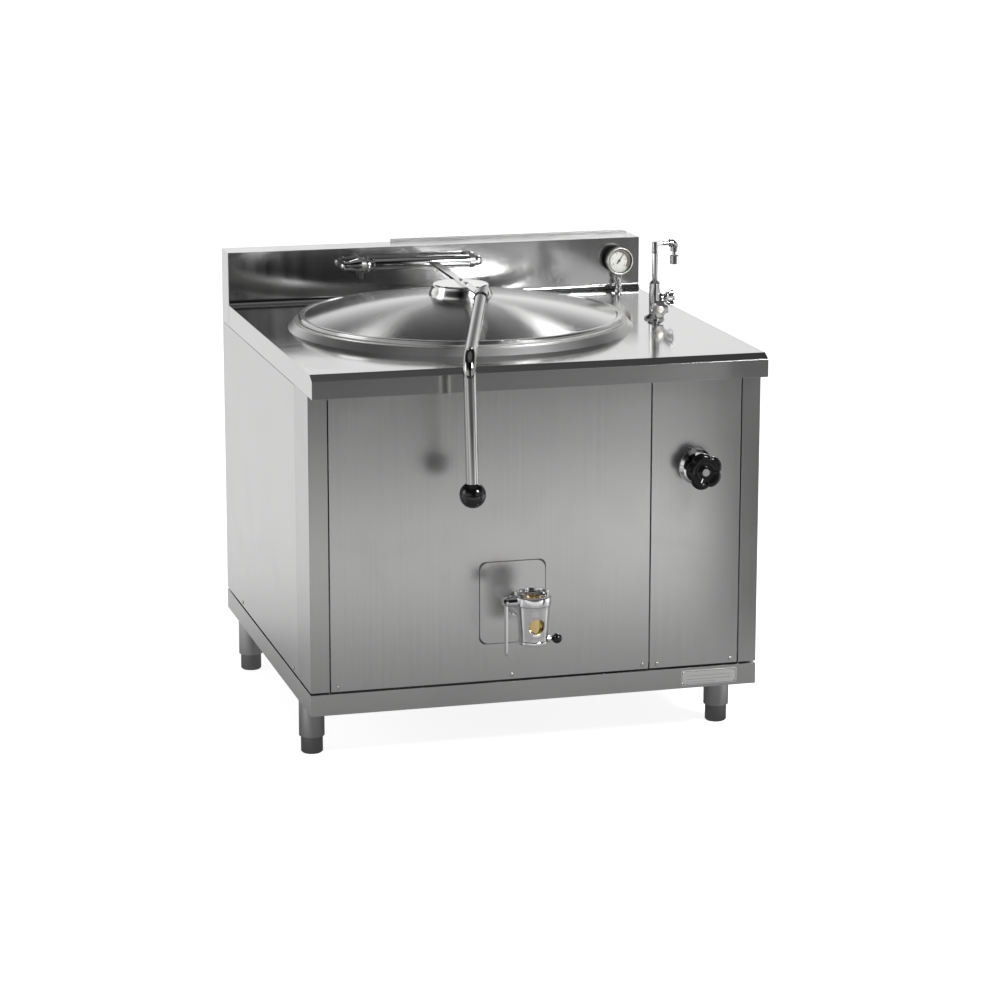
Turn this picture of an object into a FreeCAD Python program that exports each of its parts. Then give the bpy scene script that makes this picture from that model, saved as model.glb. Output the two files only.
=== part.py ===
"""Direct-steam jacketed kettle: round pan, spring-balanced lid, square cabinet on four feet.

Working axes (millimetres): x from the cabinet's left face, y from its front face towards
the back, z from the underside of the base rails. save() shifts every piece into the part's
own frame, whose origin is the middle of the whole object's footprint, on the floor.
"""
import FreeCAD, Part
import math
import os

V = FreeCAD.Vector
X, Y, Z = V(1, 0, 0), V(0, 1, 0), V(0, 0, 1)

# ---- driving dimensions ----------------------------------------------------------------
# pan, and the room round it that gives the cabinet its size
PAN_R = 350.0             # inside
PAN_LEFT = 103.0          # cabinet's left face to the pan's bore
PAN_RIGHT = 197.0         # the pan's bore to the right face, the services' side
PAN_FRONT = 120.0         # front face to the pan's bore
LID_LIP = 13.5            # lid's edge outside the pan's bore
HINGE_BACK = 4.5          # hinge axis behind the lid's rear edge
HINGE_GAP = 32.0          # hinge axis to backsplash
SPLASH_DEPTH = 80.0
PAN_X = PAN_LEFT + PAN_R
PAN_Y = PAN_FRONT + PAN_R
WIDTH = PAN_X + PAN_R + PAN_RIGHT
DEPTH = PAN_Y + PAN_R + LID_LIP + HINGE_BACK + HINGE_GAP + SPLASH_DEPTH

# cabinet
RAIL_H = 46.0             # base rails
RAIL_FLANGE = 62.0
RAIL_T = 2.0
SKIN = 1.5                # panels and posts
RETURN = 18.0             # folded edge of a panel
JOINT = 1.0               # gap between neighbouring skins
FRONT_SEAM = 3.0          # wider gap beside the front panels, which come off
PLINTH_GAP = 5.0          # shadow gap over the rails, where only the posts' lips come down
POST_FRONT = 41.0         # corner post, width on the front
POST_SIDE = 133.0         # corner post, width on the side
SERVICE_W = 201.0         # narrow panel with the steam valve
STRUT = 30.0              # square tube of the inner posts and top rails
LEG_H = 120.0             # floor to base rails
LEG_D = 56.0
LEG_WALL = 2.0
LEG_LEFT = 30.0           # leg axes in from the side faces
LEG_RIGHT = 43.0
LEG_FRONT = 138.0         # and in from the front and back faces
LEG_REAR = 126.0
FOOT_D = 48.0
FOOT_H = 38.0
FOOT_STEM_D = 16.0
FOOT_TRAVEL = 30.0
FIT = 0.05                # radial clearance of a turning fit
CLEAR = 0.5               # clearance between moving and fixed faces

# worktop
TOP_Z = 745.0             # worktop surface above the rails' underside
TOP_T = 2.0
APRON_H = 50.0
OVERHANG = 46.0
BEVEL_RUN = 22.0
BEVEL_DROP = 11.0
COVE_R = 12.0
TAB_W = 60.0              # tabs of the side and back panels that hook behind the apron
TAB_INSET = 120.0
SPLASH_H = 123.0
STRIP_LEFT = 405.0
STRIP_END_GAP = 11.0
STRIP_H = 7.0
STRIP_DEPTH = 14.0

# pan
PAN_WALL = 2.0
PAN_RIM = 16.0            # flange that lies on the collar
PAN_BOTTOM_Z = 300.0
DISH_DEPTH = 110.0
KNUCKLE_R = 60.0
COLLAR_FOOT = 36.0        # collar's foot outside the pan's outer wall
COLLAR_LEAN = 13.5        # how far the cone leans in
COLLAR_H = 16.0
COLLAR_T = 2.0
JACKET_GAP = 32.0         # steam space round the pan
JACKET_BOTTOM_GAP = 20.0
JACKET_WALL = 3.0
JACKET_TOP_Z = 600.0
BEAM_W = 50.0
SUPPORT_TUBE = 30.0

# lid
LID_T = 1.5
LID_RIM_H = 8.0
DOME_RISE = 44.0
GASKET_T = 2.0            # gasket standing out below the lid's skirt
SEAL_GAP = 0.4            # gasket to pan flange, closed
CAP_BASE_R = 72.0
CAP_TOP_R = 62.0
CAP_H = 25.0              # above the dome's crown
HINGE_UP = 87.0           # hinge axis above the worktop
TUBE_R = 15.0
TUBE_WALL = 3.0
TUBE_LEFT = PAN_X - 133.0
TUBE_RIGHT = PAN_X + 116.0
NECK_LEN = 18.0
SHAFT_R = 6.0
BRACKET_T = 5.0
BRACKET_BOSS = 12.0
BRACKET_DROPS = (34.0, 18.0)  # left and right cheek below the axis
NUT_LEN = 21.0
NUT_R = 12.0
HUB_LEN = 27.0
WIRE = 2.4                # square spring wire
SPRING_R = 9.2
SPRING_TURNS = 12
ARM_W = 20.0
ARM_T = 6.0
ARM_REAR_X = PAN_X + 27.0 # where the arm leaves the hinge tube
ARM_RISE = 12.0           # front end above the rear end
LEVER_R = 13.5
LEVER_WALL = 2.0
LEVER_BEND_R = 42.0
LEVER_TOP_X = PAN_X - 6.0 # where the arm meets the lever
LEVER_TOP_Y = PAN_FRONT + 150.0
ELBOW_X = PAN_X - 145.0
ELBOW_Z = 786.0
GRIP_X = PAN_X - 138.0
GRIP_Y = -154.0
BALL_R = 28.0
BALL_Z = 500.0

# drain
PIPE_R = 22.5
PIPE_WALL = 2.5
PIPE_ELBOW_DROP = 8.0     # straight run between the jacket and the drain's elbow
TAP_OUT = 130.0           # tap axis ahead of the front panel
TAP_Z = 219.0             # centre of its side port
TAP_TOP_R = 38.0
TAP_BOTTOM_R = 31.5
TAP_BOTTOM_Z = 165.5
TAP_H = 104.0
TAP_BORE_R = 25.0
PORT_R = 11.0
PLUG_GAP = 0.4
WINDOW_R = 17.0
CRANK_R = 13.0            # crank pin from the lever's axis
CRANK_TURN = 120.0
CRANK_PIN_R = 3.0
CRANK_DISC_R = 17.0
LEVER_Z = 258.0
HANDLE_OUT = 61.0         # lever plate's outer face from the tap's axis
HANDLE_T = 4.0
HANDLE_W = 16.0
HANDLE_DROP = 117.0
LOCK_Z = 172.0
LOCK_R = 3.0
LOCK_BALL_R = 11.0
PLATE_W = 145.0
PLATE_H = 179.0
PLATE_T = 1.2
PLATE_SHIFT_X = -9.0
PLATE_SHIFT_Z = 4.5

# steam valve and pipes
VALVE_FROM_RIGHT = 143.5
VALVE_Z = 496.5
VALVE_R = 26.0
CHAMBER_R = 17.0
CHAMBER_Y0 = 42.0
CHAMBER_Y1 = 86.0
SEAT_R = 10.0
VALVE_LIFT = 9.0
GUIDE_R = 9.0
SPINDLE_R = 5.0
ROSETTE_R = 39.0
WHEEL_OUT = 62.0          # front of the handwheel ahead of the panel
WHEEL_R = 40.0
WHEEL_T = 20.0
WHEEL_LOBES = 5
STEAM_R = 13.5
STEAM_WALL = 2.5
STEAM_BEND_R = 40.0
STUB_Z = 150.0            # height of the pipe stubs at the back
REAR_STUB = 30.0
NIPPLE_LEN = 25.0         # threaded end of each pipe, as a plain cylinder
STEAM_NIPPLE_R = 16.6
WATER_NIPPLE_R = 10.45
CONDENSATE_SIDE = 107.0   # condensate boss to the right of the pan's axis

# gauge
GAUGE_FROM_RIGHT = 58.5
GAUGE_BACK_GAP = 10.0     # gauge case to backsplash
GAUGE_UP = 72.0           # dial centre above the worktop
GAUGE_R = 32.0
GAUGE_DEPTH = 28.0
GAUGE_TUBE_R = 4.0
SHANK = 28.0              # threaded shanks of gauge and mixer below the worktop's surface

# water mixer
MIXER_FROM_RIGHT = 99.0
MIXER_Y = PAN_Y - 28.0
MIXER_R = 13.0
MIXER_H = 85.0
COLD_UP = 47.0            # handle axes above the worktop
HOT_UP = 28.0
RISER_R = 6.6
SPOUT_UP = 172.0          # spout arm above the worktop
SPOUT_DROP = 22.0         # spout arm above the riser's end
SPOUT_PIN = 14.0          # depth of the spout's socket in the riser
SPOUT_REACH = 46.0
KNOB_R = 20.5             # flared end of a handle
KNOB_LEN = 30.0
SPOUT_R = 4.8
WATER_R = 5.0
WATER_STEP = 40.0         # hot stub above the cold stub

# ---- derived places --------------------------------------------------------------------
APRON_Z = TOP_Z - APRON_H
PANEL_Z0 = RAIL_H + PLINTH_GAP
PANEL_Z1 = APRON_Z - JOINT
UNDER_TOP = TOP_Z - TOP_T
SPLASH_Y = DEPTH - SPLASH_DEPTH
SPLASH_TOP = TOP_Z + SPLASH_H
SERVICE_X1 = WIDTH - POST_FRONT - FRONT_SEAM
SERVICE_X0 = SERVICE_X1 - SERVICE_W
PAN_OUT = PAN_R + PAN_WALL
COLLAR_R = PAN_OUT + COLLAR_FOOT
COLLAR_TOP_Z = TOP_Z + COLLAR_H
RIM_TOP_Z = COLLAR_TOP_Z + PAN_WALL
JACKET_R = PAN_OUT + JACKET_GAP
JACKET_OUT = JACKET_R + JACKET_WALL
LID_R = PAN_R + LID_LIP
LID_Z = RIM_TOP_Z + SEAL_GAP + GASKET_T
DOME_R = LID_R - LID_LIP
DOME_Z = LID_Z + LID_RIM_H - LID_T
CROWN_Z = DOME_Z + DOME_RISE
CAP_TOP_Z = CROWN_Z + CAP_H
HINGE_Y = PAN_Y + LID_R + HINGE_BACK
HINGE_Z = TOP_Z + HINGE_UP
TAP_X = PAN_X
TAP_Y = -TAP_OUT
TAP_TOP_Z = TAP_BOTTOM_Z + TAP_H
PIPE_BEND_R = PAN_BOTTOM_Z - JACKET_BOTTOM_GAP - JACKET_WALL - PIPE_ELBOW_DROP - TAP_Z
PLUG_LIFT = 2 * CRANK_R * math.sin(math.radians(CRANK_TURN / 2))
VALVE_X = WIDTH - VALVE_FROM_RIGHT
CHAMBER_Y = (CHAMBER_Y0 + CHAMBER_Y1) / 2
WHEEL_Y = -WHEEL_OUT
CONDENSATE_X = PAN_X + CONDENSATE_SIDE
GAUGE_X = WIDTH - GAUGE_FROM_RIGHT
GAUGE_Y = SPLASH_Y - GAUGE_BACK_GAP - GAUGE_DEPTH
GAUGE_Z = TOP_Z + GAUGE_UP
STEM_Y = GAUGE_Y + GAUGE_DEPTH / 2
MIXER_X = WIDTH - MIXER_FROM_RIGHT
SPOUT_Z = TOP_Z + SPOUT_UP
REAR_Y = DEPTH + REAR_STUB
FRONT_Y = GRIP_Y - BALL_R
FRAME_SHIFT = V(-WIDTH / 2, -(FRONT_Y + REAR_Y) / 2, LEG_H)
PAN_AXIS = V(PAN_X, PAN_Y, 0)
HINGE_AXIS = V(0, HINGE_Y, HINGE_Z)


# ---- shape helpers ---------------------------------------------------------------------
def box(x0, x1, y0, y1, z0, z1):
    return Part.makeBox(x1 - x0, y1 - y0, z1 - z0, V(x0, y0, z0))


def cyl(r, start, direction, length):
    return Part.makeCylinder(r, length, start, direction)


def ring(r_out, r_in, start, direction, length):
    return cyl(r_out, start, direction, length).cut(cyl(r_in, start, direction, length))


def fuse(*shapes):
    return shapes[0].multiFuse(list(shapes[1:])).removeSplitter()


def group(shapes):
    return Part.makeCompound(shapes)


def face_of(points):
    """Flat face from its corners; an entry (middle, end) is an arc from the last corner."""
    edges = []
    here = points[0]
    for item in points[1:] + [points[0]]:
        if isinstance(item, tuple):
            edges.append(Part.Arc(here, item[0], item[1]).toShape())
            here = item[1]
        elif (item - here).Length > 1e-6:
            edges.append(Part.makeLine(here, item))
            here = item
    return Part.Face(Part.Wire(edges))


def hexagon(r, at, across, up):
    """Six-sided face with its corners at radius r."""
    turns = [math.radians(60 * i) for i in range(6)]
    return face_of([at + across * (r * math.cos(a)) + up * (r * math.sin(a)) for a in turns])


def turned(points, at, direction=Z):
    """Solid of revolution from (radius, height) pairs; a pair of pairs is an arc."""
    corners = []
    for p in points:
        if isinstance(p[0], tuple):
            corners.append(tuple(V(q[0], 0, q[1]) for q in p))
        else:
            corners.append(V(p[0], 0, p[1]))
    solid = face_of(corners).revolve(V(0, 0, 0), Z, 360)
    if solid.Volume < 0:
        solid.reverse()
    if direction != Z:
        solid.Placement = FreeCAD.Placement(V(0, 0, 0), FreeCAD.Rotation(Z, direction))
    return solid.translated(at)


def tray(x0, x1, y0, y1, z0, z1, wall, axis, side):
    """Folded sheet panel, a box open on one side: axis 0, 1 or 2, side +1 or -1."""
    low = [x0, y0, z0]
    high = [x1, y1, z1]
    in_low = [v + wall for v in low]
    in_high = [v - wall for v in high]
    if side > 0:
        in_high[axis] = high[axis] + wall
    else:
        in_low[axis] = low[axis] - wall
    hollow = box(in_low[0], in_high[0], in_low[1], in_high[1], in_low[2], in_high[2])
    return box(x0, x1, y0, y1, z0, z1).cut(hollow)


def mirrored_x(shape):
    return shape.mirror(V(WIDTH / 2, 0, 0), X)


def bent_bar(points, bends, radius, hole=0.0):
    """Round bar or tube along straight runs, with tangent arcs at the inner points."""
    edges = []
    start = points[0]
    for i in range(1, len(points) - 1):
        along = (points[i] - points[i - 1]).normalize()
        after = (points[i + 1] - points[i]).normalize()
        trim = bends[i - 1] * math.tan(math.acos(along.dot(after)) / 2)
        first = points[i] - along * trim
        last = points[i] + after * trim
        inward = (after - along).normalize()
        reach = math.hypot(trim, bends[i - 1]) - bends[i - 1]
        edges.append(Part.makeLine(start, first))
        edges.append(Part.Arc(first, points[i] + inward * reach, last).toShape())
        start = last
    edges.append(Part.makeLine(start, points[-1]))
    path = Part.Wire(edges)
    direction = (points[1] - points[0]).normalize()

    def swept(r):
        circle = Part.Wire(Part.makeCircle(r, points[0], direction))
        return path.makePipeShell([circle], True, False)
    return swept(radius).cut(swept(hole)) if hole else swept(radius)


def dished(radius, wall, top_z, bottom_z, depth, knuckle):
    """Wall section of a straight shell with a dished bottom, as points for turned()."""
    crown = (depth ** 2 + (radius - knuckle) ** 2 - knuckle ** 2) / (2 * (depth - knuckle))
    tangent_z = bottom_z + depth
    crown_z = bottom_z + crown
    knuckle_x = radius - knuckle
    lean = math.atan2(knuckle_x, crown_z - tangent_z)
    mid = (math.pi / 2 + lean) / 2

    def arcs(extra):
        rk = knuckle + extra
        rc = crown + extra
        knee = (knuckle_x + rk * math.sin(mid), tangent_z - rk * math.cos(mid))
        join = (knuckle_x + rk * math.sin(lean), tangent_z - rk * math.cos(lean))
        belly = (rc * math.sin(lean / 2), crown_z - rc * math.cos(lean / 2))
        return knee, join, belly, (0.0, crown_z - rc)
    knee, join, belly, foot = arcs(wall)
    knee_in, join_in, belly_in, foot_in = arcs(0.0)
    return [(radius, top_z), (radius + wall, top_z), (radius + wall, tangent_z), (knee, join),
            (belly, foot), foot_in, (belly_in, join_in), (knee_in, (radius, tangent_z))]


def dome_arc(radius, base_z, rise):
    """Middle and crown of the shallow arc from (radius, base_z) to the axis."""
    sphere = (radius ** 2 + rise ** 2) / (2 * rise)
    half = math.asin(radius / sphere) / 2
    return (sphere * math.sin(half), base_z + rise - sphere * (1 - math.cos(half))), (0.0, base_z + rise)


def save(name, shape):
    shape.translated(FRAME_SHIFT).exportStep("parts/" + name + ".step")


# ---- base ------------------------------------------------------------------------------
def channel_rail(x0, x1, y0, y1, axis, side):
    """Rail folded as a C with closed ends, open towards the inside of the cabinet."""
    core_low = [x0 + RAIL_T, y0 + RAIL_T]
    core_high = [x1 - RAIL_T, y1 - RAIL_T]
    if side > 0:
        core_high[axis] = (x1, y1)[axis] + 1
    else:
        core_low[axis] = (x0, y0)[axis] - 1
    core = box(core_low[0], core_high[0], core_low[1], core_high[1], RAIL_T, RAIL_H - RAIL_T)
    return box(x0, x1, y0, y1, 0, RAIL_H).cut(core)


def base_rails():
    f = RAIL_FLANGE
    front = channel_rail(0, WIDTH, 0, f, 1, +1)
    rear = channel_rail(0, WIDTH, DEPTH - f, DEPTH, 1, -1)
    side = channel_rail(0, f, f, DEPTH - f, 0, +1)
    return group([front, rear, side, mirrored_x(side)])


def leg_places():
    xs = (LEG_LEFT, WIDTH - LEG_RIGHT)
    ys = (LEG_FRONT, DEPTH - LEG_REAR)
    return [(x, y) for y in ys for x in xs]


def leg_tubes():
    """Round legs welded under the side rails, each with a bored bottom plug."""
    bottom = FOOT_H - LEG_H + CLEAR
    legs = []
    for x, y in leg_places():
        outer = cyl(LEG_D / 2, V(x, y, bottom), Z, -bottom)
        hollow = cyl(LEG_D / 2 - LEG_WALL, V(x, y, bottom + 20), Z, LEG_H)
        bore = cyl(FOOT_STEM_D / 2 + FIT, V(x, y, bottom - 1), Z, LEG_H)
        legs.append(outer.cut(hollow).cut(bore))
    return group(legs)


def foot(x, y):
    """Adjustable foot: a chamfered pad on a stem that runs up into the leg."""
    r = FOOT_D / 2
    pad = turned([(0, 0), (r - 3, 0), (r, 3), (r, FOOT_H), (0, FOOT_H)], V(x, y, -LEG_H))
    stem = cyl(FOOT_STEM_D / 2, V(x, y, FOOT_H - LEG_H), Z, FOOT_TRAVEL + 25)
    return fuse(pad, stem)


def vessel_support():
    """Two cross beams between the rails, and four tube legs cut to seat on the jacket."""
    section = jacket_section()
    block = turned(section[1:5] + [(0.0, JACKET_TOP_Z)], PAN_AXIS)
    spread = 0.65 * JACKET_R
    half = SUPPORT_TUBE / 2
    inner = half - RAIL_T
    top = RAIL_H - RAIL_T
    items = []
    for sx in (-1, 1):
        x = PAN_X + sx * spread
        beam = box(x - BEAM_W / 2, x + BEAM_W / 2, RAIL_T, DEPTH - RAIL_T, RAIL_T, top)
        core = box(x - BEAM_W / 2 + RAIL_T, x + BEAM_W / 2 - RAIL_T, 0, DEPTH, 0, top - RAIL_T)
        items.append(beam.cut(core))
        for sy in (-1, 1):
            y = PAN_Y + sy * spread
            leg = box(x - half, x + half, y - half, y + half, top, PAN_BOTTOM_Z + DISH_DEPTH)
            leg = leg.cut(box(x - inner, x + inner, y - inner, y + inner, 0, TOP_Z))
            items.append(leg.cut(block))
    return group(items)


# ---- cabinet ---------------------------------------------------------------------------
def corner_post():
    """Front left corner post: an angle with inward lips, standing on the rails."""
    outer = box(0, POST_FRONT, 0, POST_SIDE, PANEL_Z0, APRON_Z)
    hollow = box(SKIN, POST_FRONT + 1, SKIN, POST_SIDE + 1, 0, TOP_Z)
    lip_front = box(POST_FRONT - SKIN, POST_FRONT, SKIN, RETURN, RAIL_H, APRON_Z)
    lip_side = box(SKIN, RETURN, POST_SIDE - SKIN, POST_SIDE, RAIL_H, APRON_Z)
    post = fuse(outer.cut(hollow), lip_front, lip_side)
    corner = [e for e in post.Edges if e.BoundBox.XMax < 1e-6 and e.BoundBox.YMax < 1e-6]
    post = post.makeFillet(SKIN * 0.8, corner)
    riser = box(TOP_T, POST_FRONT, 0, SKIN, APRON_Z, UNDER_TOP)
    return fuse(post, riser)


def inner_struts():
    """Square tubes: a post near each rear corner and a rail over it, under the worktop."""
    x0 = RETURN + SKIN
    y1 = SPLASH_Y
    items = []
    post = box(x0, x0 + STRUT, y1 - STRUT, y1, RAIL_H, APRON_Z)
    post = post.cut(box(x0 + SKIN, x0 + STRUT - SKIN, y1 - STRUT + SKIN, y1 - SKIN, 0, TOP_Z))
    rail = box(x0, x0 + STRUT, RETURN + SKIN, y1, APRON_Z, UNDER_TOP)
    rail = rail.cut(box(x0 + SKIN, x0 + STRUT - SKIN, 0, DEPTH, APRON_Z + SKIN, UNDER_TOP - SKIN))
    for item in (post, rail):
        items.append(item)
        items.append(mirrored_x(item))
    return group(items)


def screw(x, y, z, outward):
    """Panel screw with a low round head proud of the skin."""
    head = turned([(0, 0), (4.5, 0), (4.5, 0.8), (3.2, 1.8), (0, 1.8)], V(0, 0, 0), outward)
    shank = cyl(2.0, outward * -8.0, outward, 8.0)
    return fuse(head, shank).translated(V(x, y, z))


def panel_screws():
    row = PANEL_Z0 + 9
    left = POST_FRONT + 17
    right = SERVICE_X0 - 17
    items = []
    for x in (left, (left + right) / 2 + 44, right, SERVICE_X0 + 16, SERVICE_X1 - 16):
        items.append(screw(x, 0, row, V(0, -1, 0)))
    for y in (POST_SIDE + 44, DEPTH - 193):
        items.append(screw(0, y, row, V(-1, 0, 0)))
        items.append(screw(WIDTH, y, row, V(1, 0, 0)))
    return group(items)


def front_panel(screws):
    panel = tray(POST_FRONT + FRONT_SEAM, SERVICE_X0 - FRONT_SEAM, 0, RETURN, PANEL_Z0, UNDER_TOP, SKIN, 1, +1)
    return panel.cut(cyl(PIPE_R + 6, V(TAP_X, -1, TAP_Z), Y, 10)).cut(screws)


def service_panel(screws):
    panel = tray(SERVICE_X0, SERVICE_X1, 0, RETURN, PANEL_Z0, UNDER_TOP, SKIN, 1, +1)
    return panel.cut(cyl(GUIDE_R + 6, V(VALVE_X, -1, VALVE_Z), Y, 10)).cut(screws)


def side_panel(screws):
    """Left side panel, with two tabs that hook behind the worktop's apron."""
    y0 = POST_SIDE + JOINT
    y1 = DEPTH - SKIN
    panel = tray(0, RETURN, y0, y1, PANEL_Z0, PANEL_Z1, SKIN, 0, +1)
    tabs = [box(TOP_T, TOP_T + SKIN, y, y + TAB_W, PANEL_Z1 - SKIN, APRON_Z + 15)
            for y in (y0 + TAB_INSET, SPLASH_Y - TAB_INSET - TAB_W)]
    return fuse(panel, *tabs).cut(screws)


def pipe_exits():
    """Where the four pipes leave the back: x, z and radius of steam, condensate, cold and hot."""
    side = WATER_R + 1
    return [(VALVE_X, STUB_Z, STEAM_R), (CONDENSATE_X, STUB_Z, STEAM_R),
            (MIXER_X - side, STUB_Z, WATER_R), (MIXER_X + side, STUB_Z + WATER_STEP, WATER_R)]


def back_panel():
    x0 = RETURN + JOINT
    panel = tray(x0, WIDTH - x0, DEPTH - RETURN, DEPTH, PANEL_Z0, PANEL_Z1, SKIN, 1, -1)
    tabs = [box(x, x + TAB_W, DEPTH - 2 * SKIN, DEPTH - SKIN, PANEL_Z1 - SKIN, APRON_Z + 15)
            for x in (x0 + TAB_INSET, WIDTH - x0 - TAB_INSET - TAB_W)]
    panel = fuse(panel, *tabs)
    for x, z, r in pipe_exits():
        panel = panel.cut(cyl(r + 3, V(x, DEPTH - RETURN - 5, z), Y, RETURN + 10))
    return panel


# ---- worktop ---------------------------------------------------------------------------
def worktop():
    """Folded top: apron, bevelled front edge, flat, and a cove up to the backsplash."""
    y0 = -OVERHANG
    t = TOP_T
    bevel_z = TOP_Z - BEVEL_DROP
    lean = math.atan2(BEVEL_DROP, BEVEL_RUN)
    in_low = t * math.tan(math.radians(45) - lean / 2)
    in_high = t * math.tan(lean / 2)
    cove = SPLASH_Y - COVE_R
    d0 = COVE_R * math.sqrt(0.5)
    d1 = (COVE_R + t) * math.sqrt(0.5)
    cz = TOP_Z + COVE_R
    rim = [V(0, y0, APRON_Z), V(0, y0, bevel_z), V(0, y0 + BEVEL_RUN, TOP_Z), V(0, cove, TOP_Z)]
    outline = rim + [(V(0, cove + d0, cz - d0), V(0, SPLASH_Y, cz)), V(0, SPLASH_Y + t, cz),
                     (V(0, cove + d1, cz - d1), V(0, cove, UNDER_TOP)),
                     V(0, y0 + BEVEL_RUN + in_high, UNDER_TOP),
                     V(0, y0 + t, bevel_z - in_low), V(0, y0 + t, APRON_Z)]
    sheet = face_of(outline).extrude(V(WIDTH, 0, 0))
    end = face_of(rim + [V(0, SPLASH_Y, TOP_Z), V(0, SPLASH_Y, APRON_Z)]).extrude(V(t, 0, 0))
    top = fuse(sheet, end, mirrored_x(end))
    top = top.cut(cyl(COLLAR_R - 8, V(PAN_X, PAN_Y, TOP_Z - 20), Z, 40))
    top = top.cut(cyl(5.0, V(GAUGE_X, STEM_Y, TOP_Z - 20), Z, 40))
    return top.cut(cyl(8.0, V(MIXER_X, MIXER_Y, TOP_Z - 20), Z, 40))


def vessel_collar():
    """Conical ring that lifts the pan's rim above the worktop."""
    r1 = COLLAR_R - COLLAR_LEAN
    inner = PAN_OUT + 5
    z = COLLAR_TOP_Z
    return turned([(COLLAR_R - 2.4, TOP_Z), (COLLAR_R, TOP_Z), (r1 + 1.5, z - 2), (r1, z), (inner, z),
                   (inner, z - COLLAR_T), (r1 - 0.8, z - COLLAR_T)], PAN_AXIS)


def backsplash():
    """Box upstand over the rear of the worktop, open below."""
    body = tray(0, WIDTH, SPLASH_Y, DEPTH, APRON_Z, SPLASH_TOP, SKIN, 2, -1)
    seat = box(-1, WIDTH + 1, SPLASH_Y - 1, SPLASH_Y + TOP_T, APRON_Z - 1, TOP_Z + COVE_R)
    return body.cut(seat)


def backsplash_strip():
    """Folded strip along the rear top edge."""
    x1 = WIDTH - STRIP_END_GAP
    z = SPLASH_TOP
    strip = box(STRIP_LEFT, x1, DEPTH - STRIP_DEPTH, DEPTH, z, z + STRIP_H)
    return strip.cut(box(STRIP_LEFT + SKIN, x1 - SKIN, DEPTH - STRIP_DEPTH + SKIN, DEPTH - SKIN,
                         z - 1, z + STRIP_H - SKIN))


# ---- pan, jacket and pipes -------------------------------------------------------------
def inner_vessel():
    section = dished(PAN_R, PAN_WALL, RIM_TOP_Z, PAN_BOTTOM_Z, DISH_DEPTH, KNUCKLE_R)
    rim = ring(PAN_OUT + PAN_RIM, PAN_OUT, V(PAN_X, PAN_Y, COLLAR_TOP_Z), Z, PAN_WALL)
    pan = fuse(turned(section, PAN_AXIS), rim)
    return pan.cut(cyl(PIPE_R, V(PAN_X, PAN_Y, PAN_BOTTOM_Z - 20), Z, 40))


def jacket_section():
    return dished(JACKET_R, JACKET_WALL, JACKET_TOP_Z, PAN_BOTTOM_Z - JACKET_BOTTOM_GAP,
                  DISH_DEPTH + 8, KNUCKLE_R + 6)


def towards_pan(point):
    """Unit vector from a point to the pan's axis, level."""
    return V(PAN_X - point.x, PAN_Y - point.y, 0).normalize()


def steam_knee():
    return V(VALVE_X - 76, CHAMBER_Y, VALVE_Z)


def gauge_knee():
    return V(GAUGE_X, STEM_Y, JACKET_TOP_Z - 40)


def jacket_port(knee, r):
    """Radial cutter for a pipe that enters the jacket's side from a knee."""
    inward = towards_pan(knee)
    at = V(PAN_X, PAN_Y, knee.z) - inward * (JACKET_OUT + 20)
    return cyl(r, at, inward, 20 + JACKET_WALL + JACKET_GAP / 2)


def port_end(knee):
    """Point just inside the jacket's wall, where such a pipe ends."""
    return V(PAN_X, PAN_Y, knee.z) - towards_pan(knee) * (JACKET_R + 1.0)


def steam_jacket():
    shell = turned(jacket_section(), PAN_AXIS)
    closing = ring(JACKET_OUT, PAN_OUT, V(PAN_X, PAN_Y, JACKET_TOP_Z), Z, JACKET_WALL)
    body = fuse(shell, closing)
    body = body.cut(cyl(PIPE_R, V(PAN_X, PAN_Y, 200), Z, PAN_BOTTOM_Z - 201))
    body = body.cut(cyl(STEAM_R, V(CONDENSATE_X, PAN_Y, 200), Z, PAN_BOTTOM_Z - 200))
    body = body.cut(jacket_port(steam_knee(), STEAM_R))
    return body.cut(jacket_port(gauge_knee(), GAUGE_TUBE_R))


def drain_pipe():
    """From the middle of the pan's bottom, forward to the tap."""
    points = [V(PAN_X, PAN_Y, PAN_BOTTOM_Z), V(PAN_X, PAN_Y, TAP_Z), V(PAN_X, RETURN + 8, TAP_Z)]
    return bent_bar(points, [PIPE_BEND_R], PIPE_R, PIPE_R - PIPE_WALL)


def nipple(x, z, r_out, r_in):
    return ring(r_out, r_in, V(x, REAR_Y - NIPPLE_LEN, z), Y, NIPPLE_LEN)


def steam_inlet_pipe():
    """Supply: in through the back panel, low along the side, up to the valve's seat."""
    y_knee = CHAMBER_Y1 + 94
    points = [V(VALVE_X, CHAMBER_Y1 + 8, VALVE_Z), V(VALVE_X, y_knee, VALVE_Z),
              V(VALVE_X, y_knee, STUB_Z), V(VALVE_X, REAR_Y, STUB_Z)]
    pipe = bent_bar(points, [STEAM_BEND_R, STEAM_BEND_R], STEAM_R, STEAM_R - STEAM_WALL)
    return fuse(pipe, nipple(VALVE_X, STUB_Z, STEAM_NIPPLE_R, STEAM_R - STEAM_WALL))


def jacket_steam_pipe():
    """From the valve's side outlet, round a knee, square into the jacket's wall."""
    start = V(VALVE_X - CHAMBER_R - 2, CHAMBER_Y, VALVE_Z)
    points = [start, steam_knee(), port_end(steam_knee())]
    return bent_bar(points, [STEAM_BEND_R], STEAM_R, STEAM_R - STEAM_WALL)


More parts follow.
